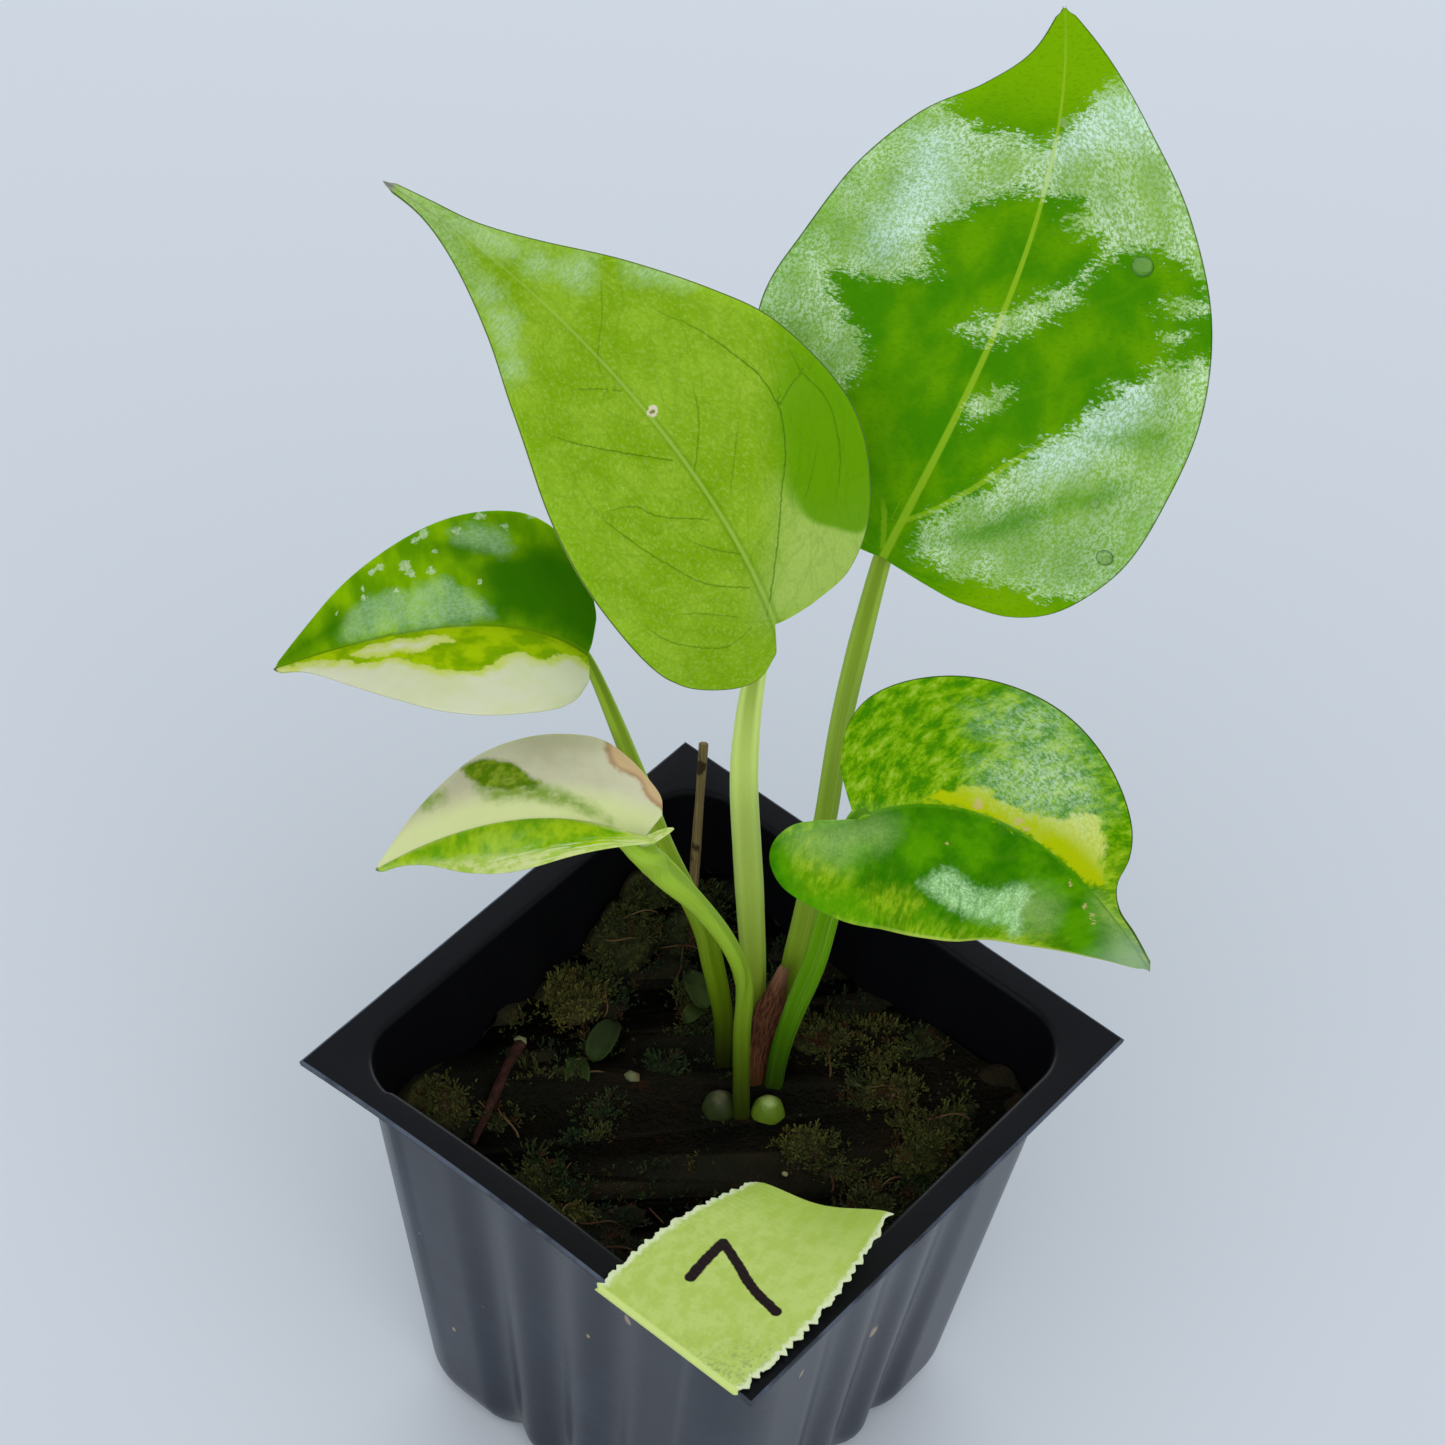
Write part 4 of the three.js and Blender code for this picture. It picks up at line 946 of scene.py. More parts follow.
# The pot: one thin skin, from the floor up the inner wall, over the flange and down outside
pot = {"rim": 65, "height": 61.5, "flange": 0.8, "wall": 0.8, "floor": 1.2, "topHalf": 29.6,
       "lowHalf": 23.5, "corner": 7.5, "footHeight": 5.5, "footInset": 3.4, "fluteTop": 0.5,
       "fluteLow": 1.5, "fluteSpan": 0.375, "flutes": 3, "rimBow": 1.1, "flatShare": 0.8,
       "sideSteps": 80, "edge": 0.25, "lip": 0.7, "curveSteps": 6, "drainRadius": 2.6,
       "drainOffset": 12, "drill": 6, "smoothTop": (56, 60.5), "flangeRows": (1.2, 0.8, 0.3),
       "innerRows": (1.2, 1.6, 2.4, 3.4, 4.4, 6, 8, 12, 18, 26, 34, 42, 50, 56, 60),
       "outerRows": (60.7, 58, 52, 45, 36, 28, 19, 12, 8, 6, 5, 4, 3, 2.1, 1.4, 0.8, 0.4, 0.12, 0),
       "specks": (("x", 11.5, 49.8, 0.6), ("x", 5.8, 40.3, 0.35), ("x", -15.5, 18, 0.3),
                  ("y", 0.3, 31.5, 0.75), ("y", 16.7, 51.3, 0.45), ("y", -16.8, 44.7, 0.5))}


def potWallHalf(z):
    straight = blend(pot["lowHalf"], pot["topHalf"], z / pot["height"])
    bend = max(0.0, 1 - z / pot["footHeight"])
    return straight - pot["footInset"] * (1 - math.sqrt(1 - bend * bend))


def potRing(kind, z, inset):      # a place on one side of the pot, before it is turned
    def body(share, bow):
        half, corner = potWallHalf(z) - inset, pot["corner"] - inset
        depth = blend(pot["fluteLow"], pot["fluteTop"], z / pot["height"])
        depth = depth * (1 - ease(*pot["smoothTop"], z)) if inset > 0 else depth
        size, flat, span = np.abs(share), pot["flatShare"], pot["fluteSpan"]
        turn = np.maximum(size - flat, 0) / (1 - flat) * np.pi / 4
        wave = 2 * np.pi * np.minimum(size, pot["flutes"] / 2 * span) / span
        flute = depth * 0.5 * (1 + np.cos(wave))
        x = np.where(size > flat, np.sign(share) * (half - corner + corner * np.sin(turn)),
                     share / flat * (half - corner))
        y = np.where(size > flat, -(half - corner + corner * np.cos(turn)),
                     -half + flute + bow * z / pot["height"])
        return x, y

    def flange(share, bow):
        half = pot["rim"] / 2 - inset
        return half * share, -half + bow
    if kind == "floor":
        return lambda share, bow: [c * inset for c in flange(share, 0 * bow)]
    return body if kind == "body" else flange


def potPlace(kind, z, inset, around):         # places round the pot, from 0 to 1 of the way
    side = np.minimum((around * 4).astype(int), 3)
    along = -1 + 2 * (around * 4 - side)
    bow = np.where(side == 3, pot["rimBow"] * (1 - along * along), 0)
    x, y = potRing(kind, z, inset)(along, bow)
    turn = (side + 1) * np.pi / 2
    return x * np.cos(turn) - y * np.sin(turn), x * np.sin(turn) + y * np.cos(turn)


def potProfile():                 # each row's kind, height and inset, from the floor's middle on
    top, edge, wall, lip = pot["height"], pot["edge"], pot["wall"], pot["lip"]
    under = top - pot["flange"]
    turns = [i / pot["curveSteps"] * math.pi / 2 for i in range(pot["curveSteps"] + 1)]
    curve = [(math.sin(turn), math.cos(turn)) for turn in turns]
    rows = [("floor", pot["floor"], 0), ("floor", pot["floor"], 0.3)]
    rows += [("body", z, wall) for z in pot["innerRows"]]
    rows += [("body", top - lip * (1 - sine), wall - lip * (1 - cosine)) for sine, cosine in curve]
    rows += [("flange", top, inset) for inset in pot["flangeRows"]]
    rows += [("flange", top - edge * (1 - cosine), edge * (1 - sine)) for sine, cosine in curve]
    rows += [("flange", under, 0.1), ("flange", under, 1.4)]
    rows += [("body", z, 0) for z in pot["outerRows"]]
    return rows + [("floor", 0, 0.3), ("floor", 0, 0)]


def potForm(rows):
    outside = np.array([float(kind == "body" and inset == 0) for kind, _, inset in rows])
    border = np.array([float(kind == "flange" and z > pot["height"] - pot["flange"]
                             and inset <= pot["edge"]) for kind, z, inset in rows])

    def form(around, share, _):
        row = np.rint(share * (len(rows) - 1)).astype(int)
        places = np.zeros((len(row), 3))
        for i, (kind, z, inset) in enumerate(rows):
            pick = row == i
            x, y = potPlace(kind, z, inset, around[pick])
            places[pick] = np.stack([x, y, 0 * x + z], 1)
        return places, {"potPlace": np.stack([around * 4, outside[row], border[row]], 1)}
    return form


def potFinish():                  # the walls mirror the bright floor, the rim and inside are dark
    f = Finish("black nursery plastic", {"IOR": 1.5, "Specular IOR Level": 0.05,
                                         "Coat IOR": 1.55, "Coat Roughness": 0.26})
    place = f.place()
    _, outside, border, _ = f.mark("potPlace")
    dust = f.cloud(place, 60.0, 6.0, 0.6)
    fleck = f.smooth(f.cloud(place, 500.0, 2.0), 0.74, 0.77)
    # one plastic, painted darker inside than outside: painted shade inside the pot
    f.colour = f.mix((12, 12, 16), (12, 24, 40), outside)
    f.wash((34, 46, 62), f.smooth(dust, 0.45, 0.8) * outside)
    f.wash((150, 130, 100), fleck * f.smooth(dust, 0.5, 0.7) * outside)
    # painted highlight along the rim's edge, broken up by noise
    rimGlint = f.smooth(f.cloud(place, 220.0, 5.0, 0.6), 0.35, 0.6)
    f.wash((86, 94, 108), border * (0.3 + rimGlint * 0.6))
    x, y, z = (f.node("SeparateXYZ", {}, {0: place}, i) / mm for i in range(3))
    uneven = (f.cloud(place, 900.0, 4.0) - 0.5) * 0.7
    for axis, along, high, size in pot["specks"]:
        off = ((x if axis == "x" else y) - along) ** 2.0 + ((z - high) * 0.55) ** 2.0
        speck = 1 - f.smooth(off ** 0.5 + uneven, size * 0.5, size)
        f.wash((168, 142, 112), speck * outside * 0.8)
    f.feed("Coat Weight", outside * 0.54 + 0.12 + dust * 0.1)
    return f.done(0.4 + dust * 0.2, f.cloud(place, 900.0, 3.0) * 0.008 + dust * 0.04)


def makePot():
    rows = potProfile()
    obj = grown("pot_shell", 4 * pot["sideSteps"], len(rows) - 1, potForm(rows), wrap=True)
    bm = bmesh.new()
    for x, y in ((1, 1), (1, -1), (-1, 1), (-1, -1)):
        spot = Matrix.Translation(Vector((x, y, 0)) * pot["drainOffset"] * mm)
        bmesh.ops.create_cone(bm, cap_ends=True, segments=32, radius1=pot["drainRadius"] * mm,
                              radius2=pot["drainRadius"] * mm, depth=pot["drill"] * mm,
                              matrix=spot)
    drill = finished("drill", bm)
    cut = obj.modifiers.new("drains", "BOOLEAN")
    cut.operation, cut.solver, cut.object = "DIFFERENCE", "EXACT", drill
    bpy.context.view_layer.update()
    scene = bpy.context.evaluated_depsgraph_get()
    whole = bpy.data.meshes.new_from_object(obj.evaluated_get(scene))
    obj.modifiers.clear()
    obj.data = whole
    bpy.data.objects.remove(drill)
    settle(obj, potFinish(), "pot_plastic", "pot")


makePot()
print("pot made")

# The mossy bed on the soil, from wall to wall and up over the plant's foot, with what lies on it
soil = {"level": 47, "rise": 2.2, "riseCurve": 1.5, "lift": 0.3, "domeCurve": 0.7,
        "waves": ((0.7, 0.62, 0, 0.9), (0.5, 0, 0.55, -0.4), (0.4, 1.1, -0.8, 0)),
        "roughScale": 0.3, "roughShape": (0.7, 2.1, 6), "roughSlice": 3.1, "roughLow": -0.2,
        "roughLift": 0.5, "crownRough": 0.3,
        "around": 64, "steps": 100, "height": 48, "wallTuck": 0.05, "wallFade": 0.93,
        "crown": (0.7, 6), "crownTop": 48.5, "crownDrop": 3.5, "crownReach": (3.2, 9),
        "crownFree": 2.4, "lowNear": (3, 7), "seed": 12, "flute": 0.75, "half": 28,
        "bare": ((27, 27, 11), (-28, -11, 6), (24, -27, 8)), "bareShare": 0.8,
        "mossyShare": 0.68, "looseClumps": 46, "looseHalf": 26, "looseSize": (2, 3.8),
        "looseRise": (0.6, 1.7), "looseTone": (0, 0.6), "leanOut": 1.1, "darkest": 0.35,
        "brightAt": 1.2, "toneSpread": (0.7, 1.2)}
clumps = [                        # across, along, radius, height, and tone: 0 dark, 1 olive
    (-23, 2, 4.4, 2.6, 0.9), (-15.6, -1, 3.2, 1.6, 0.3), (-14.8, -6.2, 3.4, 1.5, 0.25),
    (-12.1, 11.7, 3.4, 2.4, 0.45), (-9, -7.5, 4.4, 1.0, 0.05), (-24.6, 12, 4.6, 5.0, 0.4),
    (-26, 18.5, 4.0, 5.5, 0.35), (-27, -3.5, 3.0, 2.0, 0.5), (-20, 20, 4.5, 3, 0.2),
    (2.9, 17.5, 4.4, 2.4, 0.6), (7.2, 20.5, 4.6, 2.4, 0.7), (14.2, 15.5, 4.8, 2.6, 0.7),
    (20.5, 12.5, 4.4, 2.2, 0.6), (19, 20, 3.6, 1.6, 0.5), (9.2, 4.2, 4.2, 1.7, 0.75),
    (15, 6, 4.4, 1.6, 0.5), (5, -3.6, 4.0, 0.9, 0.55), (-3.2, -21.3, 3.2, 1.8, 0.95),
    (-23.6, -20.1, 4.4, 2.2, 0.65), (-9, -20, 3.4, 1.2, 0.5), (22, 2, 4, 1.6, 0.4),
    (24, -8, 3.6, 1.6, 0.45), (-16.5, -15, 3.6, 1.4, 0.4), (-3, -12, 4.6, 0.9, 0.1),
    (3.3, 0.2, 3.0, 2.0, 0.2)]


def onBare(x, y, share=1.0):      # on one of the bare places
    return any(math.hypot(x - a, y - b) <= r * share for a, b, r in soil["bare"])


def looseClumps(draw):
    found, half = list(clumps), soil["looseHalf"]
    while len(found) < len(clumps) + soil["looseClumps"]:
        x, y = draw.uniform(-half, half), draw.uniform(-half, half)
        if not onBare(x, y):
            found.append((x, y, draw.uniform(*soil["looseSize"]), draw.uniform(*soil["looseRise"]),
                          draw.uniform(*soil["looseTone"])))
    return np.array(found)


allClumps = looseClumps(random.Random(soil["seed"]))


def bedShape(x, y):               # the bed's height, how far up a clump a place is, and its tone
    lumps = sum(height * np.sin(alongX * x + alongY * y + shift)
                for height, alongX, alongY, shift in soil["waves"])
    corner = soil["rise"] * (np.abs(x * y) / pot["lowHalf"] ** 2) ** soil["riseCurve"]
    spots = [Vector((a, b, soil["roughSlice"])) * soil["roughScale"] for a, b in zip(x, y)]
    rough = np.array([noise.fractal(spot, *soil["roughShape"]) for spot in spots])
    level = soil["level"] + lumps + corner + soil["lift"]
    level = level + np.maximum(rough, soil["roughLow"]) * soil["roughLift"]
    dome, tone = np.zeros(x.shape), np.zeros(x.shape)
    for a, b, radius, rise, shade in allClumps:
        near = 1 - np.minimum(((x - a) ** 2 + (y - b) ** 2) / radius ** 2, 1)
        swell = near ** soil["domeCurve"] * rise
        tone = np.where(swell > dome, shade, tone)
        dome = np.maximum(dome, swell)
    away = np.hypot(x - soil["crown"][0], y - soil["crown"][1])
    mound = soil["crownTop"] + rough * soil["crownRough"]
    mound = mound - soil["crownDrop"] * ease(*soil["crownReach"], away)
    free = ease(*soil["lowNear"], away)       # clumps stay low beside the petioles
    return np.maximum(level + dome * free, mound), dome * free, tone


def bedForm(column, share, _):
    x, y = potPlace("body", soil["height"], pot["wall"] - soil["wallTuck"], column)
    reach = np.sqrt(share)
    z, dome, tone = bedShape(x * reach, y * reach)
    wallward = 1 - ease(soil["wallFade"], 1, reach)
    return (np.stack([x * reach, y * reach, z], 1),
            {"bedMarks": np.stack([dome * wallward, tone, reach], 1)})


def bedFinish():
    f = Finish("damp moss", {"IOR": 1.4, "Specular IOR Level": 0.1})
    dome, tone, _, _ = f.mark("bedMarks")
    place = f.place()
    fine = f.cloud(place, 900.0, 6.0, 0.7)
    broad = f.cloud(place, 130.0, 4.0, 0.6)
    low = f.mix((28, 29, 18), (42, 35, 24), f.smooth(broad, 0.4, 0.65))
    high = f.mix(f.mix((25, 35, 20), (54, 52, 26), tone),
                 f.mix((42, 54, 28), (84, 80, 38), tone), f.smooth(fine, 0.4, 0.65))
    f.colour = f.mix(low, high, f.smooth(dome + (broad - 0.5) * 2, 0.2, 1.6))
    f.wash((58, 34, 20), f.smooth(f.cloud(place, 300.0, 4.0), 0.6, 0.72))
    return f.done(0.75 + fine * 0.2, fine * 0.6 + f.cloud(place, 2600.0, 3.0) * 0.25)


def peatFinish(name, dark, lit):
    f = Finish(name, {"IOR": 1.4, "Specular IOR Level": 0.15})
    fine = f.cloud(f.place(), 700.0, 6.0, 0.7)
    f.colour = f.mix(dark, lit, f.smooth(fine, 0.4, 0.7))
    return f.done(0.75 + fine * 0.2, fine * 0.5)


def copyFinish(kind):             # for small copies, each with its own shade
    f = Finish(kind["finish"], {"IOR": 1.4, "Specular IOR Level": 0.2})
    shade, tone, tall, _ = f.mark("copyMarks")
    low, high = f.mix(*kind["dark"], tone), f.mix(*kind["lit"], tone)
    # painted light and shade: each copy is lighter toward its top and with a higher shade, darker
    # low down; on the moss this is partly its paler tips
    f.colour = f.mix(low, high, f.smooth(shade * 0.6 + tall * 0.6, 0.1, 1))
    other = f.smooth(f.cloud(f.place(), 420.0, 2.0), kind["oddFrom"], kind["oddFrom"] + 0.05)
    f.wash(kind["odd"], other * 0.8)
    return f.done(0.65 + shade * 0.2)


def sprigShape(leaves=8, size=0.6, smaller=0.04, narrow=0.3, rise=0.13, turn=2.4, lean=(25, 7)):
    bm = bmesh.new()              # a stem with small leaves all round it
    for i in range(leaves):
        leaf = bmesh.ops.create_grid(bm, x_segments=1, y_segments=1, size=0.5)["verts"]
        length = size - smaller * i
        bmesh.ops.scale(bm, verts=leaf, vec=(narrow * length, length, 1))
        bmesh.ops.translate(bm, verts=leaf, vec=(0, length * 0.5, 0))
        tilt = Matrix.Rotation(math.radians(lean[0] + lean[1] * i), 3, "X")
        bmesh.ops.rotate(bm, verts=leaf, cent=(0, 0, 0),
                         matrix=Matrix.Rotation(i * turn, 3, "Z") @ tilt)
        bmesh.ops.translate(bm, verts=leaf, vec=(0, 0, rise * i))
    stem = bmesh.ops.create_cone(bm, segments=3, radius1=0.08, radius2=0.03, depth=1.3)["verts"]
    bmesh.ops.translate(bm, verts=stem, vec=(0, 0, 0.4))
    return bm


def crumbShape(uneven=0.35, grain=3.7, flat=(1, 0.75, 0.6)):
    bm = bmesh.new()
    bmesh.ops.create_icosphere(bm, subdivisions=1, radius=0.5)
    for v in bm.verts:
        v.co *= 1 + uneven * noise.noise(v.co * grain)
    bmesh.ops.scale(bm, verts=bm.verts[:], vec=flat)
    return bm


def fibreShape(thick=0.03, sway=(0.16, 4.2), arch=(0.13, 3.1)):
    bm = bmesh.new()              # a thin bent thread that lies on the bed
    bmesh.ops.create_grid(bm, x_segments=4, y_segments=7, size=0.5)
    for v in bm.verts:
        turn, along = (v.co.x + 0.5) * 2 * math.pi, v.co.y
        radius = thick * (1 - 0.5 * abs(along))
        v.co = (along, sway[0] * math.sin(sway[1] * along) + math.cos(turn) * radius,
                arch[0] * math.cos(arch[1] * along) + math.sin(turn) * radius)
    bmesh.ops.remove_doubles(bm, verts=bm.verts[:], dist=1e-5)
    bmesh.ops.holes_fill(bm, edges=[e for e in bm.edges if e.is_boundary], sides=0)
    return bm


def leafletShape(thick=0.05, cup=0.5, bend=0.6):
    bm = bmesh.new()              # a small rounded green lobe, cupped and bent down at its tip
    bmesh.ops.create_grid(bm, x_segments=8, y_segments=12, size=0.5)
    bmesh.ops.solidify(bm, geom=bm.faces[:], thickness=thick)
    for v in bm.verts:
        along, across = v.co.y, v.co.x
        width = 0.5 * math.sqrt(max(0.0, 1 - (2 * along) ** 2)) + 0.02
        v.co.x = across * width
        v.co.z += cup * across * across - bend * (along + 0.5) ** 2
    return bm


def scattered(name, shape, matrices, marks):  # one mesh of many copies of a small shape
    small = bpy.data.meshes.new(name + "_one")
    shape.to_mesh(small)
    heights = np.array([v.co.z for v in shape.verts])
    shape.free()
    tall = (heights - heights.min()) / np.ptp(heights)
    bm = bmesh.new()
    for matrix in matrices:
        one = small.copy()
        one.transform(matrix)
        bm.from_mesh(one)
        bpy.data.meshes.remove(one)
    bpy.data.meshes.remove(small)
    layer = bm.verts.layers.float_vector.new("copyMarks")
    for i, v in enumerate(bm.verts):
        v[layer] = (*marks[i // len(tall)], tall[i % len(tall)])
    return finished(name, bm)


def somewhere(draw, mossy):       # a random place on the bed, mostly on a clump where it is mossy
    if mossy and draw.random() < soil["mossyShare"]:
        weights = allClumps[:, 2] ** 2
        a, b, radius = allClumps[draw.choices(range(len(weights)), weights)[0]][:3]
        turn, away = draw.uniform(0, 2 * math.pi), radius * math.sqrt(draw.random())
        x, y = a + away * math.cos(turn), b + away * math.sin(turn)
        return x, y, Vector((x - a, y - b, 0)) / radius
    half = soil["half"]
    return draw.uniform(-half, half), draw.uniform(-half, half), Vector((0, 0, 0))


def hasRoom(x, y, reach):         # clear of the pot's wall and of the petioles
    half = potWallHalf(soil["height"]) - pot["wall"] - soil["flute"] - reach
    over = [max(0, abs(v) - half + pot["corner"]) for v in (x, y)]
    crown = math.hypot(x - soil["crown"][0], y - soil["crown"][1])
    return math.hypot(*over) < pot["corner"] and crown >= soil["crownFree"]


def aimed(way):
    return way.to_track_quat("Z", "Y").to_matrix().to_4x4()


def scatter(name, kind, draw):
    spots = []
    while len(spots) < kind["count"]:
        x, y, lean = somewhere(draw, kind["mossy"])
        if hasRoom(x, y, kind["reach"]) and not (kind["mossy"] and onBare(x, y, soil["bareShare"])):
            spots.append((x, y, lean))
    z, dome, tone = bedShape(np.array([s[0] for s in spots]), np.array([s[1] for s in spots]))
    matrices, marks = [], []
    for i, (x, y, lean) in enumerate(spots):
        scale = draw.uniform(*kind["size"])
        jitter = Vector([draw.uniform(-1, 1) * kind["lean"] for _ in range(2)] + [0])
        aim = aimed((Vector((0, 0, 1)) + lean * soil["leanOut"] + jitter).normalized())
        turn = Matrix.Rotation(draw.uniform(0, 2 * math.pi), 4, "Z")
        place = Matrix.Translation(Vector((x, y, z[i] + kind["sink"] * scale)) * mm)
        matrices.append(place @ aim @ turn @ Matrix.Scale(scale * mm, 4))
        # painted shade: copies lying low between the clumps are darker
        bright = blend(soil["darkest"], 1, min(1.0, dome[i] / soil["brightAt"]))
        marks.append((draw.random() * bright,
                      min(1.0, tone[i] * draw.uniform(*soil["toneSpread"]))))
    return scattered(name, kind["shape"](), matrices, marks)


def standing(x, y, z, size, tip=None, azimuth=0):     # tip is the lean from upright, in degrees
    aim = Matrix() if tip is None else aimed(Vector(lookingTo(90 - tip, azimuth)))
    return Matrix.Translation(Vector((x, y, z)) * mm) @ aim @ Matrix.Scale(size * mm, 4)


# Copies scattered at random, and copies with a place of their own, each with a shade and a tone.
# For scattered copies the shade is partly random and partly painted shade, darker where they lie
# low.
# Dark and lit are each for a dark and an olive tone: the painted shaded and lit colours. Odd is
# the colour of some of them.
litter = {
    "moss_sprigs": {
        "shape": sprigShape, "count": 5200, "size": (0.9, 1.8), "reach": 1.0, "sink": -0.15,
        "mossy": True, "lean": 0.6, "finish": "moss sprigs", "dark": ((22, 30, 18), (46, 45, 22)),
        "lit": ((46, 62, 32), (98, 95, 42)), "odd": (70, 42, 24), "oddFrom": 0.6},
    "peat_crumbs": {
        "shape": crumbShape, "count": 600, "size": (0.35, 1.3), "reach": 0.6, "sink": 0.1,
        "mossy": False, "lean": 3, "finish": "peat crumbs", "dark": ((22, 19, 14), (40, 34, 22)),
        "lit": ((46, 38, 26), (66, 58, 36)), "odd": (88, 72, 48), "oddFrom": 0.66},
    "moss_fibres": {
        "shape": fibreShape, "count": 60, "size": (2.5, 6), "reach": 3.2, "sink": 0.06,
        "mossy": False, "lean": 0.35, "finish": "fibres in the moss",
        "dark": ((54, 34, 22), (70, 56, 32)), "lit": ((84, 60, 38), (104, 90, 54)),
        "odd": (80, 44, 30), "oddFrom": 0.55},
}
placed = {
    "moss_lobes": {
        "shape": leafletShape, "finish": "small green lobes",
        "at": ((-15.4, -1, 51, 6.2, 26, 20), (-14.4, -6.4, 50.4, 5.6, 24, 40),
               (-11.6, 11.4, 52, 5.4, 30, 60), (-10.4, 9.2, 51, 4, 20, 10)),
        "marks": ((0.4, 0), (0.4, 1 / 3), (0.4, 2 / 3), (0.4, 1)),
        "dark": ((27, 39, 12), (36, 48, 15)), "lit": ((40, 54, 18), (54, 68, 22)),
        "odd": (33, 43, 16), "oddFrom": 0.55},
    "pale_grit": {
        "shape": crumbShape, "finish": "pale grit",
        "at": ((-4.1, -11, 49.4, 1.0), (-9.6, -2.3, 49.9, 2.3), (-21.8, -7.8, 51, 1.9),
               (11.6, -0.6, 49.6, 0.9)),
        "marks": ((1, 0), (0.3, 0.9), (0.5, 0.8), (0.6, 0.5)),
        "dark": ((150, 146, 100), (66, 70, 46)), "lit": ((178, 172, 120), (92, 96, 62)),
        "odd": (104, 80, 56), "oddFrom": 0.6},
}
twig = {"route": [[-21.6, -8.1, 51], [-20.2, -12, 51.3], [-18.2, -17, 50.6], [-16.3, -21.8, 50.4]],
        "radii": [0.7, 0.5, 0.6, 0.45, 0.3], "ridge": 0.12, "ridges": 5, "around": 14, "rows": 40,
        "dark": (42, 23, 17), "lit": (70, 40, 32)}
underMoss = {"soil": ("damp peat", (16, 14, 10), (34, 28, 18)),
             "rootstock": ("rootstock bark", (30, 32, 14), (60, 64, 26))}


def makeBed():
    bed = grown("moss_bed", 4 * soil["around"], soil["steps"], bedForm, wrap=True)
    settle(bed, bedFinish(), "soil")
    draw = random.Random(soil["seed"])
    for name, kind in litter.items():
        settle(scatter(name, kind, draw), copyFinish(kind), "soil")
    for name, kind in placed.items():
        matrices = [standing(*spot) for spot in kind["at"]]
        copies = scattered(name, kind["shape"](), matrices, kind["marks"])
        settle(copies, copyFinish(kind), "soil")
    form = tubeForm(twig["route"], twig["radii"], np.array([0.0, 0, 1]), ridge=twig["ridge"],
                    ridges=twig["ridges"])
    bark = peatFinish("reddish twig", twig["dark"], twig["lit"])
    settle(grown("moss_twig", twig["around"], twig["rows"], form, wrap=True), bark, "soil")
    for node, look in underMoss.items():
        bpy.data.objects[node].data.materials[0] = peatFinish(*look).material


makeBed()
print("bed of moss made")

# The two round root nubs, the dry sheath between the petioles, and the straw at the far corner
nubs = {"root_tip_1": {"at": (4.8, 4.5, 49.3), "tone": (90, 116, 20), "top": (160, 174, 104)},
        "root_tip_2": {"at": (0.3, 1.3, 49.3), "tone": (42, 52, 16), "top": (86, 82, 58)}}
nubShape = {"radius": 2.0, "stretch": 1.45, "around": 28, "rows": 20, "point": (0.08, 12),
            "lumps": ((0.03, 3, 5), (0.02, 7, -3))}
sheath = {"route": [[1.2, 6.1, 48.6], [0.6, 7.4, 55.5], [1.2, 8.1, 63.5], [1.8, 8.8, 70]],
          "halfWidths": [0.9, 1.25, 1.7, 0.45], "waist": (0.08, 14), "thick": 0.22, "cup": 0.6,
          "wrinkle": (0.04, 20), "ragged": 0.35, "raggedWaves": (9, 23), "raggedFrom": 0.8,
          "long": 22, "columns": 22, "rows": 60}
straw = {"route": [[-20, 20.3, 43.5], [-22, 22.5, 55.5], [-25.2, 26.4, 71.5]],
         "radii": [0.6, 0.56, 0.6, 0.5, 0.55], "ribs": 7, "ribDepth": 0.07, "around": 24,
         "rows": 40}


def ballForm(centre, axes, radius, up, down, point=(0, 1), lumps=()): # up, down: share of radius
    def form(around, share, _):
        turn, climb = 2 * np.pi * around, np.pi * (share - 0.5)
        uneven = 1 + sum(size * np.sin(a * turn + b * climb) for size, a, b in lumps)
        flat, rise = np.cos(climb) * radius * uneven, np.sin(climb)
        tall = rise * radius * np.where(rise > 0, up, down)
        tall = tall + point[0] * np.maximum(0, rise) ** point[1]
        parts = (np.cos(turn) * flat, np.sin(turn) * flat, tall)
        places = centre + sum(axis * part[:, None] for axis, part in zip(axes, parts))
        return places, {"ballPlace": np.stack([np.cos(climb), share, 0 * share], 1)}
    return form


def nubFinish(name, nub):
    f = Finish("waxy " + name, {"IOR": 1.45, "Specular IOR Level": 0.3,
                                **flesh(0.3, (0.6, 1.0, 0.3), 1.5)})
    high = f.mark("ballPlace")[1]
    speckle = f.cloud(f.place(), 1400.0, 5.0)
    f.colour = f.mix((30, 40, 12), nub["tone"], f.smooth(high, 0.3, 0.65))
    f.wash(nub["top"], f.smooth(high + (speckle - 0.5) * 0.3, 0.78, 0.98) * 0.75)
    return f.done(0.45 + speckle * 0.3, speckle * 0.06)


def sheathForm(column, share, under):
    across, front = lookingTo(0, outlook + 90), lookingTo(0, outlook)
    s = 2 * column - 1
    slow, quick = sheath["raggedWaves"]
    torn = sheath["ragged"] * np.sin(slow * column + 2) * np.sin(quick * column)
    torn = torn * ease(sheath["raggedFrom"], 1, share)
    half = evenly(sheath["halfWidths"], share)
    half = half * (1 + sheath["waist"][0] * np.sin(sheath["waist"][1] * share))
    depth = sheath["cup"] * (1 - s * s) + sheath["thick"] * (0.5 - under)
    depth = depth + sheath["wrinkle"][0] * np.sin(sheath["wrinkle"][1] * s)
    places = (smoothRoute(sheath["route"])(np.clip(share, 0, 1)) + across * (s * half)[:, None]
              + front * depth[:, None] + np.array([0, 0, 1.0]) * torn[:, None])
    return places, {"sheathPlace": np.stack([s * half, share * sheath["long"], 0 * s], 1)}


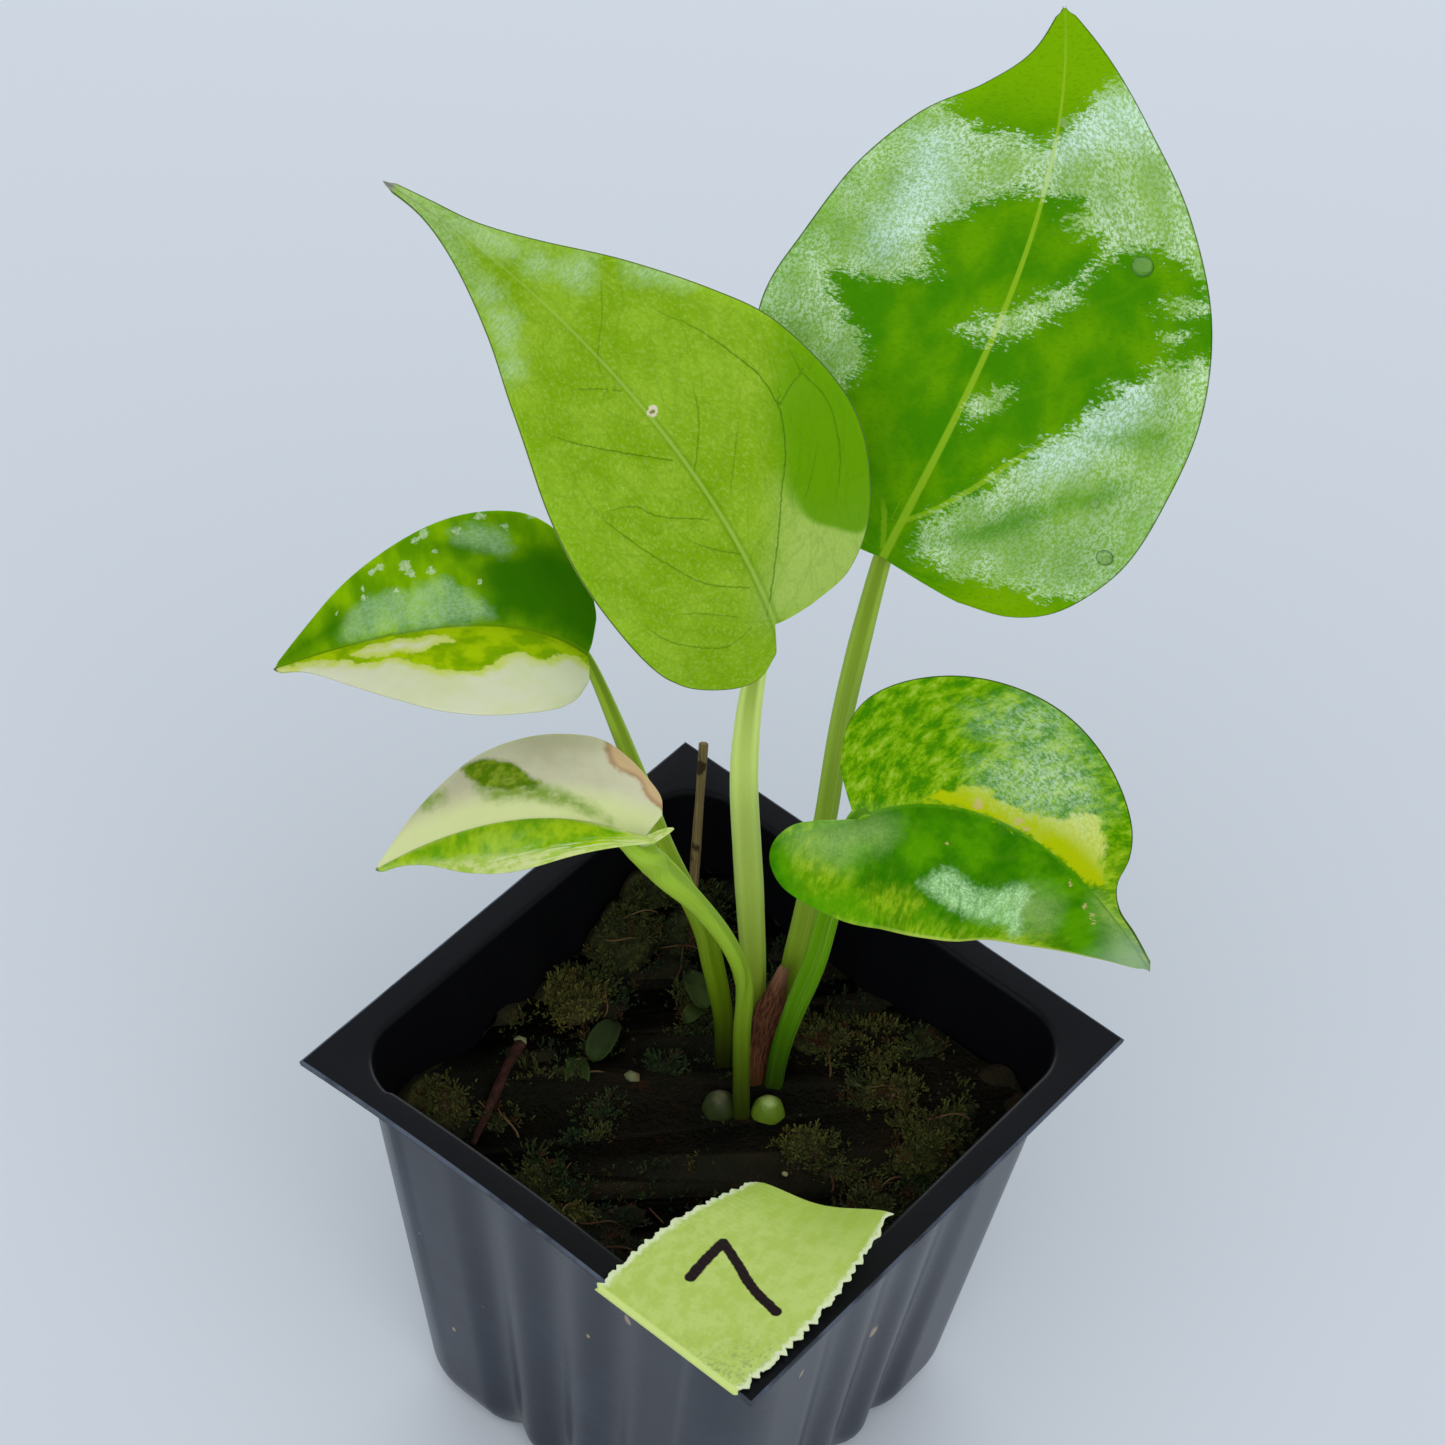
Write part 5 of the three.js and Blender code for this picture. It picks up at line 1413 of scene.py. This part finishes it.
def sheathFinish():
    f = Finish("dry reddish sheath", {"IOR": 1.4, "Specular IOR Level": 0.2})
    x, along, _, _ = f.mark("sheathPlace")
    fibre = f.cloud(f.vector(x * 3.0, along * 0.35), 1.5, 5.0, 0.6)
    f.colour = f.mix((68, 36, 24), (128, 82, 56), f.smooth(fibre, 0.35, 0.7))
    f.wash((72, 44, 14), 1 - f.smooth(along, 1, 7))
    f.wash((152, 110, 86), f.smooth(along, 17, 22) * 0.6)
    return f.done(0.55 + fibre * 0.3, fibre * 0.2)


def strawFinish():
    f = Finish("dry straw", {"IOR": 1.4, "Specular IOR Level": 0.2})
    x, y, share, _ = f.mark("stalkPlace")
    fibre = f.cloud(f.vector(x * 2, y * 2, share * 2), 3.0, 5.0, 0.6)
    f.colour = f.mix((104, 90, 54), (156, 136, 90), f.smooth(fibre, 0.35, 0.7))
    f.wash((60, 48, 28), f.smooth(f.cloud(f.place(), 500.0), 0.6, 0.7))
    return f.done(0.7 + fibre * 0.2, fibre * 0.1)


for node, nub in nubs.items():
    form = ballForm(np.array(nub["at"]), np.identity(3), nubShape["radius"], nubShape["stretch"],
                    nubShape["stretch"], nubShape["point"], nubShape["lumps"])
    obj = grown(node + "_nub", nubShape["around"], nubShape["rows"], form, wrap=True)
    settle(obj, nubFinish(node, nub), "root_tip", node)
scale = grown("sheath_scale", sheath["columns"], sheath["rows"], sheathForm, slab=True)
settle(scale, sheathFinish(), "sheath", "sheath")
stalk = tubeForm(straw["route"], straw["radii"], lookingTo(0, outlook), ridge=straw["ribDepth"],
                 ridges=straw["ribs"])
obj = grown("straw_stalk", straw["around"], straw["rows"], stalk, wrap=True)
settle(obj, strawFinish(), "straw", "straw")
print("nubs, sheath and straw made")

# The strip of crepe tape over the rim. Its long sides are torn and toothed.
tape = {"nearLeft": (11.4, -32.9, 62.1), "nearRight": (30.9, -32.9, 62.1),
        "farLeft": (13.2, -8.6, 58), "farRight": (30.4, -7.5, 67.5), "thick": 0.24, "lip": 0.4,
        "lipShare": 0.02, "dip": 1.6, "bulge": 0.9, "curl": 2.2, "columns": 76, "rows": 230,
        "wide": 19.0, "long": 25.3, "teeth": 17, "toothDepth": (0.5, 0.85), "toothShare": 0.14,
        "toothDrift": ((0.02, 17), (0.01, 43)), "toothShift": 0.4, "toothMiddle": 0.7,
        "toothUneven": (0.75, 0.35, 2.3), "chip": 0.17, "chipWaves": (61, 173, 29),
        "crepe": (0.015, 9), "inkSteps": 24,
        "marker": [[(6.2, 7.9), (5.8, 11), (5.5, 14.2)],      # a plain figure, drawn by hand
                   [(5.5, 14.2), (8.2, 12.9), (11.6, 11.2), (15.2, 10.3)]],
        "markerHalf": 0.58}


def tapeTeeth(s, v, t):           # how far the torn sides stand out or in
    right = s > 0.5
    drift = sum(size * np.sin(wave * v) for size, wave in tape["toothDrift"])
    phase = tape["teeth"] * (v + drift) + tape["toothShift"] * right
    saw = 2 * np.abs(np.mod(phase, 1) - 0.5) - tape["toothMiddle"]
    least, more, turn = tape["toothUneven"]
    uneven = least + more * np.sin(np.floor(phase + 0.5) * turn + right)
    a, b, c = tape["chipWaves"]
    chip = 0.5 * np.sin(a * v + 3 * right) + 0.5 * np.sin(b * v + 1) * np.sin(c * v)
    shallow, deep = tape["toothDepth"]
    depth = np.where(right, blend(deep, shallow, t), shallow)
    tooth = depth * saw * uneven + tape["chip"] * chip
    return ease(1 - tape["toothShare"], 1, np.abs(2 * s - 1)) * tooth * np.sign(s - 0.5)


def tapeForm(s, v, under):
    t = np.clip((v - tape["lipShare"]) / (1 - tape["lipShare"]), 0, 1)
    ends = [np.array(tape[key], float) for key in ("nearLeft", "nearRight", "farLeft", "farRight")]
    near, far = (ends[a] + (ends[b] - ends[a]) * s[:, None] for a, b in ((0, 1), (2, 3)))
    p = near + (far - near) * t[:, None]
    p[:, 0] += tape["bulge"] * (2 * s - 1) * np.sin(np.pi * t) + tapeTeeth(s, v, t)
    p[:, 2] = blend(near[:, 2], far[:, 2], t ** tape["curl"])
    p[:, 2] -= tape["dip"] * (np.sin(np.pi * s) * t) ** 2
    hang = np.clip(1 - v / tape["lipShare"], 0, 1)
    p[:, 2] -= hang * tape["lip"]
    turn = ease(0, 1, np.clip(v / (2 * tape["lipShare"]), 0, 1)) * np.pi / 2
    outward = np.stack([0 * turn, -np.cos(turn), np.sin(turn)], 1)
    high, waves = tape["crepe"]
    crepe = high * np.sin(waves * tape["long"] * t + 2 * np.sin(5 * s)) * ease(0, 0.1, t)
    p = p + outward * (tape["thick"] * (0.5 - under) + crepe)[:, None]
    x, y = s * tape["wide"], t * tape["long"]
    shares = np.linspace(0, 1, tape["inkSteps"])
    ink = np.min([toLine(smoothRoute(line)(shares), x, y)[0] for line in tape["marker"]], axis=0)
    gap = np.minimum(s, 1 - s) * tape["wide"]
    return p, {"tapePlace": np.stack([x, y, gap], 1),
               "tapeInk": np.stack([ink, under, 0 * s], 1)}


def tapeFinish():
    f = Finish("yellow-green crepe tape", {"IOR": 1.4, "Specular IOR Level": 0.12,
                                           **flesh(0.15, (1, 1, 0.5), 0.6)})
    x, y, gap, spot = f.mark("tapePlace")
    ink, under = f.mark("tapeInk")[:2]
    fibre = f.cloud(f.vector(x * 0.5, y * 2.2), 1.6, 6.0, 0.65)
    blotch = f.cloud(spot, 0.5, 6.0, 0.65)
    f.colour = f.mix((177, 198, 93), (189, 208, 114), f.smooth(blotch, 0.38, 0.62))
    f.wash((158, 186, 62), f.smooth(y, 17, 25) * 0.5)
    grey = f.smooth(f.cloud(spot, 1.6, 6.0, 0.75), 0.48, 0.62) * f.smooth(x - y * 0.9, 7, 15)
    f.wash((132, 152, 92), grey * 0.7)
    torn = 1 - f.smooth(gap + (f.cloud(spot, 1.8, 4.0) - 0.5) * 1.1, 0.25, 0.95)
    f.wash((226, 234, 196), torn * 0.8)
    # painted highlight along the fold over the rim's edge
    f.wash((206, 222, 132), 1 - f.smooth(y, 0.3, 0.7))
    wobble = (f.cloud(spot, 1.6, 3.0) - 0.5) * 0.25
    pen = 1 - f.smooth(ink + wobble, tape["markerHalf"] - 0.1, tape["markerHalf"] + 0.08)
    pen = pen * (1 - under)
    f.wash((30, 18, 20), pen)
    return f.done(0.8 - pen * 0.25, fibre * 0.1 + f.cloud(spot, 7.0, 3.0) * 0.03)


settle(grown("tape_strip", tape["columns"], tape["rows"], tapeForm, slab=True), tapeFinish(),
       "label_paper", "label")
print("tape made")

# Drops of water that stand on the large green leaf
drops = {"blade": "blade_1", "around": 28, "rows": 12, "tall": 0.3, "deep": 0.12, "short": 0.92,
         "lift": 0.2,
         "at": [(11.5, 37.2, 1.3), (20, 11.5, 0.95), (16.6, 15.6, 0.6)]}


def dropFinish():                 # nearly clear, with a darker ring and a sharp reflection
    f = Finish("water", {"IOR": 1.33, "Coat Weight": 1.0, "Coat IOR": 1.6,
                         "Coat Roughness": 0.03})
    ring = f.mark("ballPlace")[0]
    # painted shade in a darker ring at the drop's edge and a painted lighter middle, where the
    # water bends the light
    f.colour = f.mix((150, 196, 96), (52, 104, 14), f.smooth(ring, 0.55, 0.9))
    f.feed("Alpha", 0.25 + f.smooth(ring, 0.75, 0.98) * 0.4)
    return f.done(0.02)


def makeDrops():
    place, _ = leafSheet(leaves[drops["blade"]])
    water = dropFinish()
    for i, (across, along, radius) in enumerate(drops["at"]):
        spot = np.array([1.0]), np.array([abs(across)]), np.array([float(along)])
        normal = leafNormal(place, *spot)[0]
        side = unit(np.cross(normal, [0, 0, 1.0]))
        axes = side, np.cross(normal, side) * drops["short"], normal
        form = ballForm(place(*spot)[0] + normal * drops["lift"], axes, radius, drops["tall"],
                        drops["deep"])
        drop = grown("water_drop_%d" % (i + 1), drops["around"], drops["rows"], form, wrap=True)
        settle(drop, water, "leaf_green")


makeDrops()
print("drops made")
